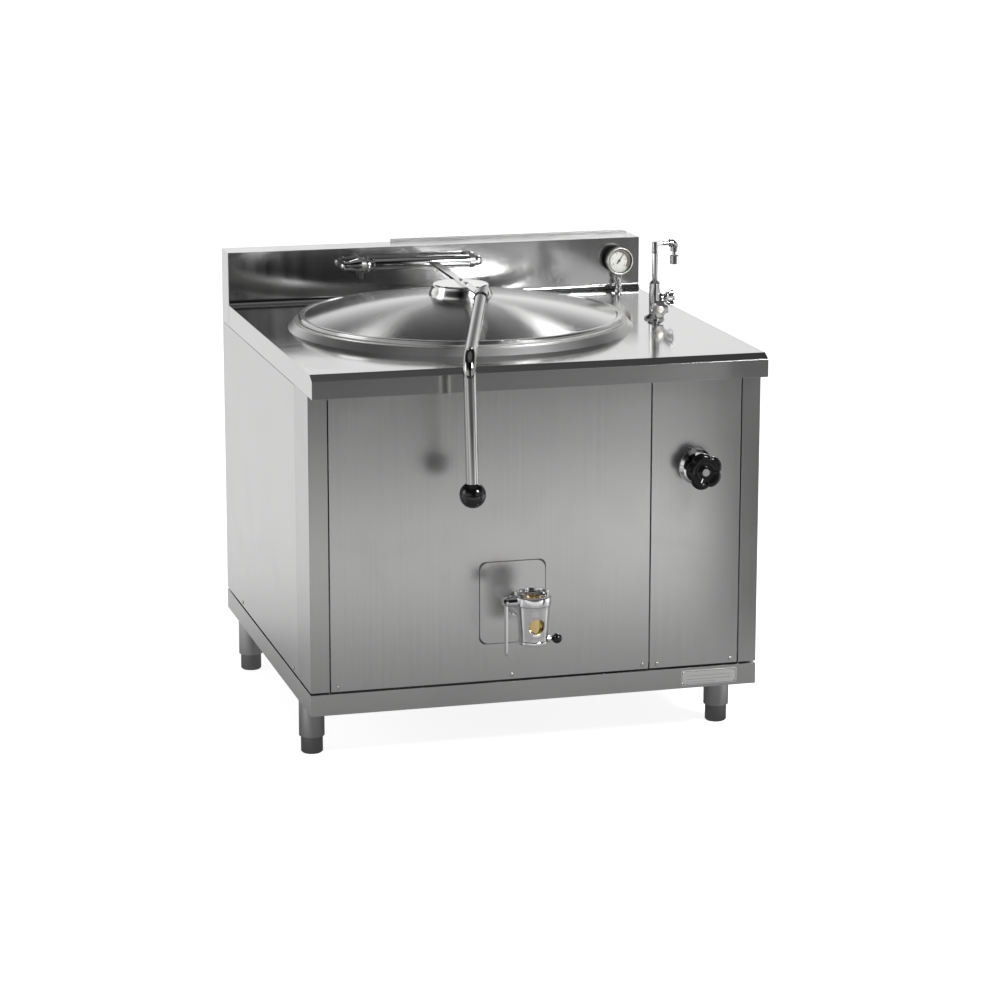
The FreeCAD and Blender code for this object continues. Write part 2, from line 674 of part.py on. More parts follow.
def condensate_pipe():
    """From the bottom of the jacket to the back."""
    top = V(CONDENSATE_X, PAN_Y, PAN_BOTTOM_Z - JACKET_BOTTOM_GAP + 6)
    points = [top, V(CONDENSATE_X, PAN_Y, STUB_Z), V(CONDENSATE_X, REAR_Y, STUB_Z)]
    pipe = bent_bar(points, [STEAM_BEND_R], STEAM_R, STEAM_R - STEAM_WALL)
    return fuse(pipe, nipple(CONDENSATE_X, STUB_Z, STEAM_NIPPLE_R, STEAM_R - STEAM_WALL))


def gauge_tube():
    """Thin line from the jacket to the gauge's stem."""
    points = [V(GAUGE_X, STEM_Y, TOP_Z - SHANK), gauge_knee(), port_end(gauge_knee())]
    return bent_bar(points, [25.0], GAUGE_TUBE_R, GAUGE_TUBE_R - 1.2)


def water_pipes():
    """Cold and hot supply, side by side from the back panel up to the mixer."""
    pipes = []
    for x, z, r in pipe_exits()[2:]:
        points = [V(x, MIXER_Y, TOP_Z - SHANK), V(x, MIXER_Y, z), V(x, REAR_Y, z)]
        pipe = bent_bar(points, [30.0], r, r - 1.0)
        pipes.append(fuse(pipe, nipple(x, z, WATER_NIPPLE_R, r - 1.0)))
    return group(pipes)


# ---- drain tap -------------------------------------------------------------------------
def drain_cover_plate():
    cx = TAP_X + PLATE_SHIFT_X
    cz = TAP_Z + PLATE_SHIFT_Z
    plate = box(cx - PLATE_W / 2, cx + PLATE_W / 2, -PLATE_T, 0, cz - PLATE_H / 2, cz + PLATE_H / 2)
    corners = [e for e in plate.Edges if e.BoundBox.XLength < 1e-6 and e.BoundBox.ZLength < 1e-6]
    plate = plate.makeFillet(20.0, corners)
    return plate.cut(cyl(PIPE_R - PIPE_WALL + 1, V(TAP_X, -5, TAP_Z), Y, 10))


def tap_at(z):
    return V(TAP_X, TAP_Y, z)


def drain_tap_body():
    """Upright tapered barrel with a neck back into the cabinet and a round front window."""
    top = TAP_TOP_Z
    r0 = TAP_BOTTOM_R
    r1 = TAP_TOP_R
    barrel = turned([(TAP_BORE_R, TAP_BOTTOM_Z), (r0 - 1, TAP_BOTTOM_Z), (r0, TAP_BOTTOM_Z + 1),
                     (r0, TAP_BOTTOM_Z + 7), (r0 - 1.2, TAP_BOTTOM_Z + 8.5), (r1 - 2, top - 20),
                     (r1, top - 18), (r1, top - 1.5), (r1 - 1.5, top), (TAP_BORE_R + 2, top),
                     (TAP_BORE_R, top - 2)], tap_at(0))
    hood = turned([(r1 - 3, top - 4), (r1, top - 4), (r1, top + 7), (r1 - 3, top + 7)], tap_at(0))
    hood = hood.cut(box(0, WIDTH, TAP_Y - 60, TAP_Y + 10, 0, TOP_Z))
    neck_r = PIPE_R - PIPE_WALL
    neck_start = V(TAP_X, TAP_Y + TAP_BORE_R + 4, TAP_Z)
    neck = cyl(neck_r, neck_start, Y, RETURN + 30 - neck_start.y)
    flange = cyl(neck_r + 6, V(TAP_X, -PLATE_T - 7, TAP_Z), Y, 7)
    boss_x = TAP_X - HANDLE_OUT + HANDLE_T + CLEAR
    boss = cyl(11.0, V(boss_x, TAP_Y, LEVER_Z), X, TAP_X - TAP_BORE_R - 2 - boss_x)
    lock_boss = cyl(7.0, V(TAP_X + TAP_BORE_R + 2, TAP_Y, LOCK_Z), X, 10)
    body = fuse(barrel, hood, neck, flange, boss, lock_boss)
    body = body.cut(cyl(PORT_R, V(TAP_X, TAP_Y, TAP_Z), Y, 60))
    body = body.cut(cyl(neck_r - 3, V(TAP_X, TAP_Y + 42, TAP_Z), Y, RETURN + 40 - TAP_Y))
    body = body.cut(cyl(WINDOW_R, V(TAP_X, TAP_Y, TAP_Z - 11), V(0, -1, 0), 60))
    body = body.cut(cyl(CRANK_DISC_R + 0.8, V(TAP_X - TAP_BORE_R - 1, TAP_Y, LEVER_Z), X, 14))
    body = body.cut(cyl(5.0 + FIT, V(boss_x - 1, TAP_Y, LEVER_Z), X, TAP_X - TAP_BORE_R - boss_x))
    return body.cut(cyl(LOCK_R + SEAL_GAP, V(TAP_X, TAP_Y, LOCK_Z), X, 60))


def drain_plug():
    """Brass piston: hollow from below, side port, flat and slot for the crank pin."""
    r = TAP_BORE_R - PLUG_GAP
    bottom = LOCK_Z + LOCK_R + 5
    top = TAP_TOP_Z - 8
    plug = cyl(r, tap_at(bottom), Z, top - bottom)
    plug = plug.cut(cyl(r - 7.5, tap_at(bottom - 1), Z, LEVER_Z - 21 - bottom))
    plug = plug.cut(cyl(r - 8, tap_at(top - 6), Z, 10))
    plug = plug.cut(cyl(PORT_R, V(TAP_X, TAP_Y, TAP_Z - PLUG_LIFT), Y, 60))
    flat_x = TAP_X - TAP_BORE_R + 5.5
    plug = plug.cut(box(TAP_X - 60, flat_x, TAP_Y - 60, TAP_Y + 60,
                        LEVER_Z - CRANK_DISC_R - 1 - PLUG_LIFT, TOP_Z))
    y, z = crank_pin_place()
    slot = CRANK_PIN_R + 1.4
    return plug.cut(box(flat_x - 1, flat_x + 6.5, TAP_Y - CRANK_R - slot, TAP_Y + CRANK_R + slot,
                        z - slot, z + slot))


def crank_pin_place():
    half = math.radians(CRANK_TURN / 2)
    return TAP_Y - CRANK_R * math.cos(half), LEVER_Z - CRANK_R * math.sin(half)


def drain_lever():
    """Flat hanging lever on a spindle whose inner disc carries the crank pin."""
    x0 = TAP_X - HANDLE_OUT
    half = HANDLE_W / 2
    low = LEVER_Z - HANDLE_DROP
    plate = face_of([V(x0, TAP_Y - half, LEVER_Z), V(x0, TAP_Y - half, low + half),
                     (V(x0, TAP_Y, low), V(x0, TAP_Y + half, low + half)), V(x0, TAP_Y + half, LEVER_Z)])
    plate = plate.extrude(V(HANDLE_T, 0, 0))
    eye = cyl(11.0, V(x0, TAP_Y, LEVER_Z), X, HANDLE_T)
    nut = hexagon(7.0, V(x0 - 5, TAP_Y, LEVER_Z), Y, Z).extrude(V(5.5, 0, 0))
    disc_x = TAP_X - TAP_BORE_R
    spindle = cyl(5.0, V(x0, TAP_Y, LEVER_Z), X, disc_x - x0)
    disc = cyl(CRANK_DISC_R, V(disc_x - 0.5, TAP_Y, LEVER_Z), X, 5.5)
    y, z = crank_pin_place()
    pin = cyl(CRANK_PIN_R, V(disc_x + 4, y, z), X, 7)
    return fuse(plate, eye, nut, spindle, disc, pin)


def drain_lock():
    """Locking pin under the plug, pulled out by its ball."""
    x0 = TAP_X + TAP_BORE_R - 6
    ball_x = TAP_X + TAP_BOTTOM_R + 21
    pin = cyl(LOCK_R, V(x0, TAP_Y, LOCK_Z), X, ball_x - x0)
    ball = Part.makeSphere(LOCK_BALL_R, V(ball_x, TAP_Y, LOCK_Z))
    return fuse(pin, ball)


# ---- steam valve -----------------------------------------------------------------------
def valve_at(y):
    return V(VALVE_X, y, VALVE_Z)


def steam_valve_body():
    """Globe valve on the Y axis: bonnet, guide, chamber, seat and inlet socket."""
    r = VALVE_R
    end = CHAMBER_Y1 + 24
    outline = [(GUIDE_R + 4, -30), (GUIDE_R + 5, -29), (GUIDE_R + 5, SKIN), (r + 4, SKIN), (r + 4, 8),
               (r, 10), (r, end - 4), (r - 4, end), (STEAM_R, end), (STEAM_R, CHAMBER_Y1 + 8),
               (SEAT_R, CHAMBER_Y1 + 8), (SEAT_R, CHAMBER_Y1), (CHAMBER_R, CHAMBER_Y1),
               (CHAMBER_R, CHAMBER_Y0), (GUIDE_R + SEAL_GAP, CHAMBER_Y0), (GUIDE_R + SEAL_GAP, 14),
               (SPINDLE_R + FIT, 14), (SPINDLE_R + FIT, -30)]
    body = turned(outline, valve_at(0), Y)
    side = V(VALVE_X - CHAMBER_R - 2, CHAMBER_Y, VALVE_Z)
    body = body.cut(cyl(STEAM_R - STEAM_WALL, valve_at(CHAMBER_Y), V(-1, 0, 0), 60))
    return body.cut(cyl(STEAM_R, side, V(-1, 0, 0), 60))


def valve_rosette():
    """Domed cover ring over the hole in the panel."""
    r = ROSETTE_R
    hole = GUIDE_R + 5
    return turned([(hole, 0), (r, 0), (r, -3), (r - 6, -9), (r - 14, -11), (hole, -11)], valve_at(0), Y)


def valve_spindle():
    """Turns with the handwheel; its head holds the wheel on."""
    head = cyl(8.0, valve_at(WHEEL_Y - 2), Y, 2 + CLEAR)
    rod = cyl(SPINDLE_R, valve_at(WHEEL_Y), Y, CHAMBER_Y0 + 14 - WHEEL_Y)
    return fuse(head, rod)


def valve_plug():
    """Hollow guided disc that closes on the seat and is drawn forward to open."""
    seat = CHAMBER_Y1 - SEAL_GAP
    front = CHAMBER_Y0 - 16
    rod_end = CHAMBER_Y0 + 15 + VALVE_LIFT
    outline = [(SPINDLE_R + FIT, front), (GUIDE_R, front), (GUIDE_R, CHAMBER_Y0 + 14),
               (CHAMBER_R - 3, CHAMBER_Y0 + 18), (CHAMBER_R - 3, seat - 3), (CHAMBER_R - 5, seat),
               (0, seat), (0, rod_end), (SPINDLE_R + FIT, rod_end)]
    return turned(outline, valve_at(0), Y)


def steam_handwheel():
    """Lobed wheel on a square-shouldered hub."""
    y0 = WHEEL_Y + CLEAR
    lobe_r = 0.3 * WHEEL_R
    parts = [cyl(0.82 * WHEEL_R, valve_at(y0), Y, WHEEL_T)]
    for i in range(WHEEL_LOBES):
        a = 2 * math.pi * i / WHEEL_LOBES + math.pi / 2
        at = V(VALVE_X + (WHEEL_R - lobe_r) * math.cos(a), y0, VALVE_Z + (WHEEL_R - lobe_r) * math.sin(a))
        parts.append(cyl(lobe_r, at, Y, WHEEL_T))
    parts.append(cyl(13.0, valve_at(y0), Y, WHEEL_T + 8))
    return fuse(*parts).cut(cyl(SPINDLE_R, valve_at(WHEEL_Y - 5), Y, 60))


# ---- gauge -----------------------------------------------------------------------------
def gauge_at(y):
    return V(GAUGE_X, y, GAUGE_Z)


def gauge_stem():
    """Turned column with a six-sided nut under the gauge's case."""
    h = GAUGE_UP - GAUGE_R
    nut_z = h - 12
    column = turned([(0, -SHANK), (5, -SHANK), (5, 0), (10, 0), (10, 4), (7.5, 6), (6.5, 10), (8.5, 12),
                     (8.5, 15), (6.5, 17), (5.5, nut_z), (0, nut_z)], V(GAUGE_X, STEM_Y, TOP_Z))
    nut = hexagon(9.0, V(GAUGE_X, STEM_Y, TOP_Z + nut_z), X, Y).extrude(V(0, 0, 11))
    tip = cyl(6.0, V(GAUGE_X, STEM_Y, TOP_Z + nut_z), Z, 13.5)
    body = fuse(column, nut, tip)
    body = body.cut(cyl(GAUGE_R - 0.5, gauge_at(GAUGE_Y), Y, GAUGE_DEPTH))
    return body.cut(cyl(2.5, V(GAUGE_X, STEM_Y, TOP_Z - SHANK - 1), Z, SHANK + 32))


def gauge_case():
    """Round can with a rolled bezel, open to the front."""
    r = GAUGE_R
    d = GAUGE_DEPTH
    return turned([(0, d), (r - 2, d), (r - 0.5, d - 1.5), (r - 0.5, 6), (r, 5), (r, 1.5), (r - 1.5, 0),
                   (r - 5, 0), (r - 5, 1.5), (r - 2.5, 1.5), (r - 2.5, d - 2), (0, d - 2)],
                  gauge_at(GAUGE_Y), Y)


def gauge_dial():
    y = GAUGE_Y + 10
    dial = cyl(GAUGE_R - 2.5, gauge_at(y), Y, 1.0)
    post = ring(3.5, 1.0 + FIT, gauge_at(y + 1), Y, GAUGE_DEPTH - 13)
    return fuse(dial, post).cut(cyl(1.0 + FIT, gauge_at(y - 1), Y, GAUGE_DEPTH))


def gauge_lens():
    return cyl(GAUGE_R - 2.5, gauge_at(GAUGE_Y + 1.5), Y, 1.5)


def gauge_pointer():
    """Tapered needle on a pin that turns in the dial, standing up and to the right."""
    y = GAUGE_Y + 8
    needle = face_of([V(-1.6, 0, -9), V(1.6, 0, -9), V(0.5, 0, 21), V(-0.5, 0, 21)]).extrude(V(0, 0.8, 0))
    needle.rotate(V(0, 0, 0), Y, 35)
    needle = needle.translated(gauge_at(y))
    return fuse(needle, cyl(3.0, gauge_at(y - 0.6), Y, 1.6), cyl(1.0, gauge_at(y), Y, 14))


# ---- water mixer -----------------------------------------------------------------------
def mixer_at(z):
    return V(MIXER_X, MIXER_Y, TOP_Z + z)


def water_tap_body():
    """Turned column with a flared foot, two handle spigots and a riser for the spout."""
    r = MIXER_R
    h = MIXER_H
    end = SPOUT_UP - SPOUT_DROP
    column = turned([(0, -SHANK), (8, -SHANK), (8, 0), (r + 10, 0), (r + 10, 3), (r + 7, 6), (r - 0.5, 12),
                     (r - 0.5, h - 3), (r - 3, h), (RISER_R, h + 3), (RISER_R, end), (3.5 + FIT, end),
                     (3.5 + FIT, end - SPOUT_PIN), (0, end - SPOUT_PIN)], mixer_at(0))
    right = cyl(5.0, mixer_at(COLD_UP), X, r + 8)
    front = cyl(5.0, mixer_at(HOT_UP), V(0, -1, 0), r + 8)
    return fuse(column, right, front)


def water_handle(toward, height):
    """Knob on its spigot: collar, waist and a flare with four scallops round its end."""
    base = MIXER_R
    end = base + KNOB_LEN
    r = KNOB_R
    knob = turned([(5 + FIT, base), (11, base), (12, base + 1), (12, base + 4), (8, base + 6),
                   ((9.5, base + 11), (14, base + 16)), (r, end - 4), (r, end - 2), (r - 2, end - 0.5),
                   (8, end), (0, end), (0, base + 10), (5 + FIT, base + 10)], V(0, 0, 0))
    for i in range(4):
        a = math.radians(45 + 90 * i)
        knob = knob.cut(cyl(9.0, V(1.2 * r * math.cos(a), 1.2 * r * math.sin(a), base + 7), Z, KNOB_LEN))
    knob.Placement = FreeCAD.Placement(mixer_at(height), FreeCAD.Rotation(Z, toward))
    return knob


def water_spout():
    """Swivelling arm with a square-looking bend, an elbow and an aerator."""
    x1 = MIXER_X + SPOUT_REACH
    z = SPOUT_Z
    end = SPOUT_UP - SPOUT_DROP
    pin = cyl(3.5, mixer_at(end - SPOUT_PIN + 2), Z, SPOUT_PIN)
    collar = cyl(8.0, mixer_at(end + SEAL_GAP), Z, 6)
    upright = cyl(RISER_R, mixer_at(end + 2), Z, SPOUT_DROP - 2 + SPOUT_R)
    arm = cyl(SPOUT_R, mixer_at(SPOUT_UP), X, SPOUT_REACH - 8)
    elbow = bent_bar([V(x1 - 12, MIXER_Y, z), V(x1, MIXER_Y, z), V(x1, MIXER_Y, z - 19)], [10.0], 9.0)
    drop = turned([(0, -48), (8.5, -48), (10, -46.5), (10, -29), (8.5, -27), (4.5, -27), (4.5, -18),
                   (0, -18)], V(x1, MIXER_Y, z))
    return fuse(pin, collar, upright, arm, elbow, drop)


# ---- lid hinge -------------------------------------------------------------------------
def hinge_at(x):
    return V(x, HINGE_Y, HINGE_Z)


def hinge_bracket(x_boss, low):
    """Cheek plate from the backsplash with a boss for the shaft and a screwed foot."""
    x0 = x_boss + (BRACKET_BOSS - BRACKET_T) / 2
    y1 = SPLASH_Y
    outline = [V(x0, HINGE_Y, HINGE_Z + 13), V(x0, y1, HINGE_Z + 13), V(x0, y1, HINGE_Z - low),
               V(x0, HINGE_Y + 10, HINGE_Z - low), V(x0, HINGE_Y - 6, HINGE_Z - 12),
               V(x0, HINGE_Y - 13, HINGE_Z)]
    cheek = face_of(outline).extrude(V(BRACKET_T, 0, 0))
    boss = cyl(16.0, hinge_at(x_boss), X, BRACKET_BOSS)
    foot_plate = box(x_boss - 12, x_boss + BRACKET_BOSS + 12, y1 - 3, y1, HINGE_Z - 16, HINGE_Z + 8)
    return fuse(cheek, boss, foot_plate).cut(cyl(SHAFT_R, hinge_at(x_boss - 1), X, BRACKET_BOSS + 2))


def bracket_left_x():
    return TUBE_LEFT - CLEAR - BRACKET_BOSS


def bracket_right_x():
    return TUBE_RIGHT + CLEAR


def hinge_shaft():
    """Fixed shaft through both brackets, closed by a domed nut at each end."""
    x0 = bracket_left_x() - HUB_LEN - NUT_LEN
    x1 = bracket_right_x() + BRACKET_BOSS + NUT_LEN
    rod = cyl(SHAFT_R, hinge_at(x0 + 8), X, x1 - x0 - 16)
    r = NUT_R
    d = r * math.sqrt(0.5)
    flat = NUT_LEN - r
    profile = [(0, 0), (r - 1.5, 0), (r, 1.5), (r, flat), ((d, flat + d), (0, NUT_LEN))]
    right = turned(profile, hinge_at(x1 - NUT_LEN), X)
    left = turned(profile, hinge_at(x0 + NUT_LEN), V(-1, 0, 0))
    return fuse(rod, left, right)


def spring_hub():
    """Tapered adjusting hub between the left nut and the left bracket."""
    x0 = bracket_left_x() - HUB_LEN
    outline = [(SHAFT_R, 0), (11, 0), (17, HUB_LEN - 6), (17, HUB_LEN), (SHAFT_R, HUB_LEN)]
    return turned(outline, hinge_at(x0), X)


def hinge_tube():
    """Tube that turns with the lid: end flange, thin neck, main bore round the spring."""
    x0 = TUBE_LEFT
    length = TUBE_RIGHT - x0
    bore = TUBE_R - TUBE_WALL + 0.5
    tight = SHAFT_R + FIT
    end = length - 14
    return turned([(tight, 0), (19, 0), (19, 5.5), (11, 5.5), (11, NECK_LEN), (TUBE_R - 1, NECK_LEN),
                   (TUBE_R, NECK_LEN + 1), (TUBE_R, length), (tight, length), (tight, end), (bore, end),
                   (bore, NECK_LEN + 4), (tight, NECK_LEN + 4)], hinge_at(x0), X)


def torsion_spring():
    """Square-wire coil round the shaft; one end is let into the shaft."""
    x0 = TUBE_LEFT + NECK_LEN + 8
    length = TUBE_RIGHT - 22 - x0
    helix = Part.makeHelix(length / SPRING_TURNS, length, SPRING_R)
    half = WIRE / 2
    section = Part.makePolygon([V(SPRING_R - half, 0, -half), V(SPRING_R + half, 0, -half),
                                V(SPRING_R + half, 0, half), V(SPRING_R - half, 0, half),
                                V(SPRING_R - half, 0, -half)])
    coil = Part.Wire(helix.Edges).makePipeShell([section], True, True)
    tail = box(0, SPRING_R, -half, half, -half, half).cut(cyl(SHAFT_R, V(0, 0, -50), Z, 100))
    spring = fuse(coil, tail)
    spring.Placement = FreeCAD.Placement(hinge_at(x0), FreeCAD.Rotation(Z, X))
    return spring


# ---- lid -------------------------------------------------------------------------------
def lid_shell():
    """Shallow dome in a rolled rim with a turned-down skirt."""
    t = LID_T
    r = LID_R
    top = LID_Z + LID_RIM_H
    k = 3 * (1 - math.sqrt(0.5))
    ki = t + (3 - t) * (1 - math.sqrt(0.5))
    outer = dome_arc(DOME_R, DOME_Z, DOME_RISE)
    inner = dome_arc(DOME_R, DOME_Z - t, DOME_RISE)
    return turned([(r, LID_Z), (r, top - 3), ((r - k, top - k), (r - 3, top)), (DOME_R + 2.5, top),
                   (DOME_R, DOME_Z), outer, (0, CROWN_Z - t), (inner[0], (DOME_R, DOME_Z - t)),
                   (DOME_R + 2.5, top - t), (r - 3, top - t), ((r - ki, top - ki), (r - t, top - 3)),
                   (r - t, LID_Z)], PAN_AXIS)


def lid_gasket():
    """Rubber ring inside the skirt; it stands out below and seals on the pan's flange."""
    r = LID_R - LID_T
    z = LID_Z + LID_RIM_H - 3
    return turned([(r - 8, LID_Z - GASKET_T), (r, LID_Z - GASKET_T), (r, z), (r - 8, z)], PAN_AXIS)


def dome_block():
    """Everything below the dome's outer face, used to seat pieces on it."""
    outer = dome_arc(DOME_R, DOME_Z, DOME_RISE)
    return turned([(0, LID_Z - 50), (DOME_R, LID_Z - 50), (DOME_R, DOME_Z), outer], PAN_AXIS)


def arm_direction():
    rear = V(ARM_REAR_X, HINGE_Y, HINGE_Z + 2)
    front = V(LEVER_TOP_X, LEVER_TOP_Y, HINGE_Z + 2 + ARM_RISE)
    return rear, front


def plain_arm():
    rear, front = arm_direction()
    along = (front - rear).normalize()
    across = Z.cross(along).normalize()
    bar = box(0, (front - rear).Length, -ARM_W / 2, ARM_W / 2, -ARM_T / 2, ARM_T / 2)
    bar.Placement = FreeCAD.Placement(rear, FreeCAD.Rotation(along, across, along.cross(across), "XYZ"))
    return bar


def lid_cap():
    """Hollow tapered boss on the crown, with a slot in which the arm lies."""
    z0 = CROWN_Z - 12
    h = CAP_TOP_Z - z0
    r0 = CAP_BASE_R
    r1 = CAP_TOP_R
    shell = turned([(r0 - 2, 0), (r0, 0), (r0, 12), (r1 + 2, h - 5), ((r1 + 0.6, h - 1.5), (r1 - 3, h)),
                    (0, h), (0, h - 4), (r1 - 4, h - 4), (r0 - 2, 12)], V(PAN_X, PAN_Y, z0))
    return shell.cut(dome_block()).cut(plain_arm())


def lever_line():
    top = V(LEVER_TOP_X, LEVER_TOP_Y, HINGE_Z + 2 + ARM_RISE - 3)
    return [top, V(ELBOW_X, GRIP_Y, ELBOW_Z), V(GRIP_X, GRIP_Y, BALL_Z)]


def lid_lever():
    """Bent tube from the arm, forward over the worktop and down to the ball."""
    points = lever_line()
    tube = bent_bar(points, [LEVER_BEND_R], LEVER_R, LEVER_R - LEVER_WALL)
    along = (points[1] - points[0]).normalize()
    socket = turned([(0, -20), (15, -20), (16.5, -18), (16.5, 16), (15, 18), (0, 18)], points[0], along)
    return fuse(tube, socket)


def lid_arm(lever):
    """Flat bar from the hinge tube over the cap to the lever's socket."""
    rear, front = arm_direction()
    bar = plain_arm()
    beyond = box(0, WIDTH, HINGE_Y, DEPTH, 0, 2 * TOP_Z)
    points = lever_line()
    along = (points[1] - points[0]).normalize()
    socket = cyl(16.5, points[0] - along * 20, along, 60)
    return bar.cut(cyl(TUBE_R, hinge_at(TUBE_LEFT), X, TUBE_RIGHT - TUBE_LEFT)).cut(beyond).cut(socket)


def lid_screws():
    """Two screws that hold the arm on the cap."""
    rear, front = arm_direction()
    along = (front - rear).normalize()
    up = along.cross(Z.cross(along).normalize())
    items = []
    for y in (PAN_Y - 30, PAN_Y + 30):
        at = rear + along * ((y - rear.y) / along.y) + up * (ARM_T / 2)
        head = turned([(0, 0), (5.5, 0), (5.5, 1.6), (3.5, 3), (0, 3)], at, up)
        shank = cyl(2.5, at - up * 12, up, 12)
        items.append(fuse(head, shank))
    return group(items)


def handle_ball(lever):
    ball = Part.makeSphere(BALL_R, V(GRIP_X, GRIP_Y, BALL_Z))
    return ball.cut(lever)


# ---- build -----------------------------------------------------------------------------
os.makedirs("parts", exist_ok=True)

save("base_rails", base_rails())
save("leg_tubes", leg_tubes())
for name, place in zip(("foot_front_left", "foot_front_right", "foot_rear_left", "foot_rear_right"),
                       leg_places()):
    save(name, foot(place[0], place[1]))
save("vessel_support", vessel_support())

post = corner_post()
save("corner_post_left", post)
save("corner_post_right", mirrored_x(post))
save("inner_struts", inner_struts())
screws = panel_screws()
save("panel_screws", screws)
save("front_panel", front_panel(screws))
save("service_panel", service_panel(screws))
side = side_panel(screws)
save("side_panel_left", side)
save("side_panel_right", mirrored_x(side))
save("back_panel", back_panel())

save("worktop", worktop())
save("vessel_collar", vessel_collar())
save("backsplash", backsplash())
save("backsplash_strip", backsplash_strip())

save("inner_vessel", inner_vessel())
save("steam_jacket", steam_jacket())
save("drain_pipe", drain_pipe())
save("steam_inlet_pipe", steam_inlet_pipe())
save("jacket_steam_pipe", jacket_steam_pipe())
save("condensate_pipe", condensate_pipe())
save("gauge_tube", gauge_tube())
save("water_pipes", water_pipes())

save("drain_cover_plate", drain_cover_plate())
save("drain_tap_body", drain_tap_body())
save("drain_plug", drain_plug())
save("drain_lever", drain_lever())
save("drain_lock", drain_lock())

save("steam_valve_body", steam_valve_body())
save("valve_rosette", valve_rosette())
save("valve_spindle", valve_spindle())
save("valve_plug", valve_plug())
save("steam_handwheel", steam_handwheel())

save("gauge_stem", gauge_stem())
save("gauge_case", gauge_case())
save("gauge_dial", gauge_dial())
save("gauge_lens", gauge_lens())
save("gauge_pointer", gauge_pointer())

save("water_tap_body", water_tap_body())
save("water_handle_cold", water_handle(X, COLD_UP))
save("water_handle_hot", water_handle(V(0, -1, 0), HOT_UP))
save("water_spout", water_spout())

save("hinge_bracket_left", hinge_bracket(bracket_left_x(), BRACKET_DROPS[0]))
save("hinge_bracket_right", hinge_bracket(bracket_right_x(), BRACKET_DROPS[1]))
save("hinge_shaft", hinge_shaft())
save("spring_hub", spring_hub())
save("hinge_tube", hinge_tube())
save("torsion_spring", torsion_spring())

lever = lid_lever()
cap_screws = lid_screws()
save("lid_shell", lid_shell())
save("lid_gasket", lid_gasket())
save("lid_cap", lid_cap().cut(cap_screws))
save("lid_arm", lid_arm(lever).cut(cap_screws))
save("lid_screws", cap_screws)
save("lid_lever", lever)
save("handle_ball", handle_ball(lever))
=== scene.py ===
"""Steam jacketed kettle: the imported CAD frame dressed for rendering, in metres."""
import math
import bmesh
import bpy
import numpy as np
from mathutils import Matrix, Vector


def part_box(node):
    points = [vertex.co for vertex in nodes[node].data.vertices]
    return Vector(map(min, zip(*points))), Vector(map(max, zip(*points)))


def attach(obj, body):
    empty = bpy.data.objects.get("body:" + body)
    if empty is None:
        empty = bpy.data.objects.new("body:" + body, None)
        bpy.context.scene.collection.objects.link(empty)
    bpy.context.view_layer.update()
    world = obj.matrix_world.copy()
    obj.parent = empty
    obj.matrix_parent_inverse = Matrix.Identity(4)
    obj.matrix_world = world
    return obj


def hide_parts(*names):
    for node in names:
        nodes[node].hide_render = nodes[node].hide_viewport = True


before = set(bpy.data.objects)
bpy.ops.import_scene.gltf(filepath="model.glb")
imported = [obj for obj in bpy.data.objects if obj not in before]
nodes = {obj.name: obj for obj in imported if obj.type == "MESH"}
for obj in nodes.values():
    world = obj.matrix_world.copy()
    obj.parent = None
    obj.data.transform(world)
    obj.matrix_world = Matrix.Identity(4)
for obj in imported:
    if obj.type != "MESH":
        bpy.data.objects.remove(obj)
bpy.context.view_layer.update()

# ---- camera and studio -----------------------------------------------------------------
# A long lens looks at the kettle from its front left, a little above the worktop. The
# ground is white paper, and the room beyond it is white to the camera.
lens = bpy.data.cameras.new("camera")
lens.lens = 117.40
lens.sensor_width = 36.0
lens.clip_end = 200.0
camera = bpy.data.objects.new("camera", lens)
camera_place = (-1.87677, -6.92474, 2.12586)
yaw, pitch, roll = (math.radians(a) for a in (15.3612, 12.9563, 0.0556))
forward = Vector((math.sin(yaw) * math.cos(pitch), math.cos(yaw) * math.cos(pitch), -math.sin(pitch)))
right = Vector((math.cos(yaw), -math.sin(yaw), 0.0))
up = right.cross(forward)
turned_right = right * math.cos(roll) + up * math.sin(roll)
turned_up = up * math.cos(roll) - right * math.sin(roll)
camera.matrix_world = Matrix.Translation(camera_place) @ Matrix(
    (turned_right, turned_up, -forward)).transposed().to_4x4()
bpy.context.scene.collection.objects.link(camera)
bpy.context.scene.camera = camera
bpy.context.scene.view_settings.view_transform = "Standard"


def ramp_node(tree, source, stops):
    """Colour ramp of greys over a value; stops are (position, grey) pairs."""
    ramp = tree.nodes.new("ShaderNodeValToRGB")
    marks = ramp.color_ramp.elements
    while len(marks) < len(stops):
        marks.new(0.5)
    for mark, (place, grey) in zip(marks, stops):
        mark.position = place
        mark.color = (grey, grey, grey, 1)
    tree.links.new(source, ramp.inputs[0])
    return ramp.outputs[0]


def stretched(tree, source, low, high, to_low=0.0, to_high=1.0):
    """The value of a socket carried from low..high to another span, 0..1 if none is given."""
    span = tree.nodes.new("ShaderNodeMapRange")
    span.inputs["From Min"].default_value = low
    span.inputs["From Max"].default_value = high
    span.inputs["To Min"].default_value = to_low
    span.inputs["To Max"].default_value = to_high
    tree.links.new(source, span.inputs["Value"])
    return span.outputs[0]


def combined(tree, operation, first, second):
    """Two values joined by one operation, such as MULTIPLY or MAXIMUM."""
    joint = tree.nodes.new("ShaderNodeMath")
    joint.operation = operation
    tree.links.new(first, joint.inputs[0])
    tree.links.new(second, joint.inputs[1])
    return joint.outputs[0]


def vector_step(tree, operation, source, fixed=(0, 0, 0)):
    """One operation on a vector, with a fixed second vector where it takes one."""
    step = tree.nodes.new("ShaderNodeVectorMath")
    step.operation = operation
    step.inputs[1].default_value = fixed
    tree.links.new(source, step.inputs[0])
    return step.outputs["Value" if operation == "LENGTH" else "Vector"]


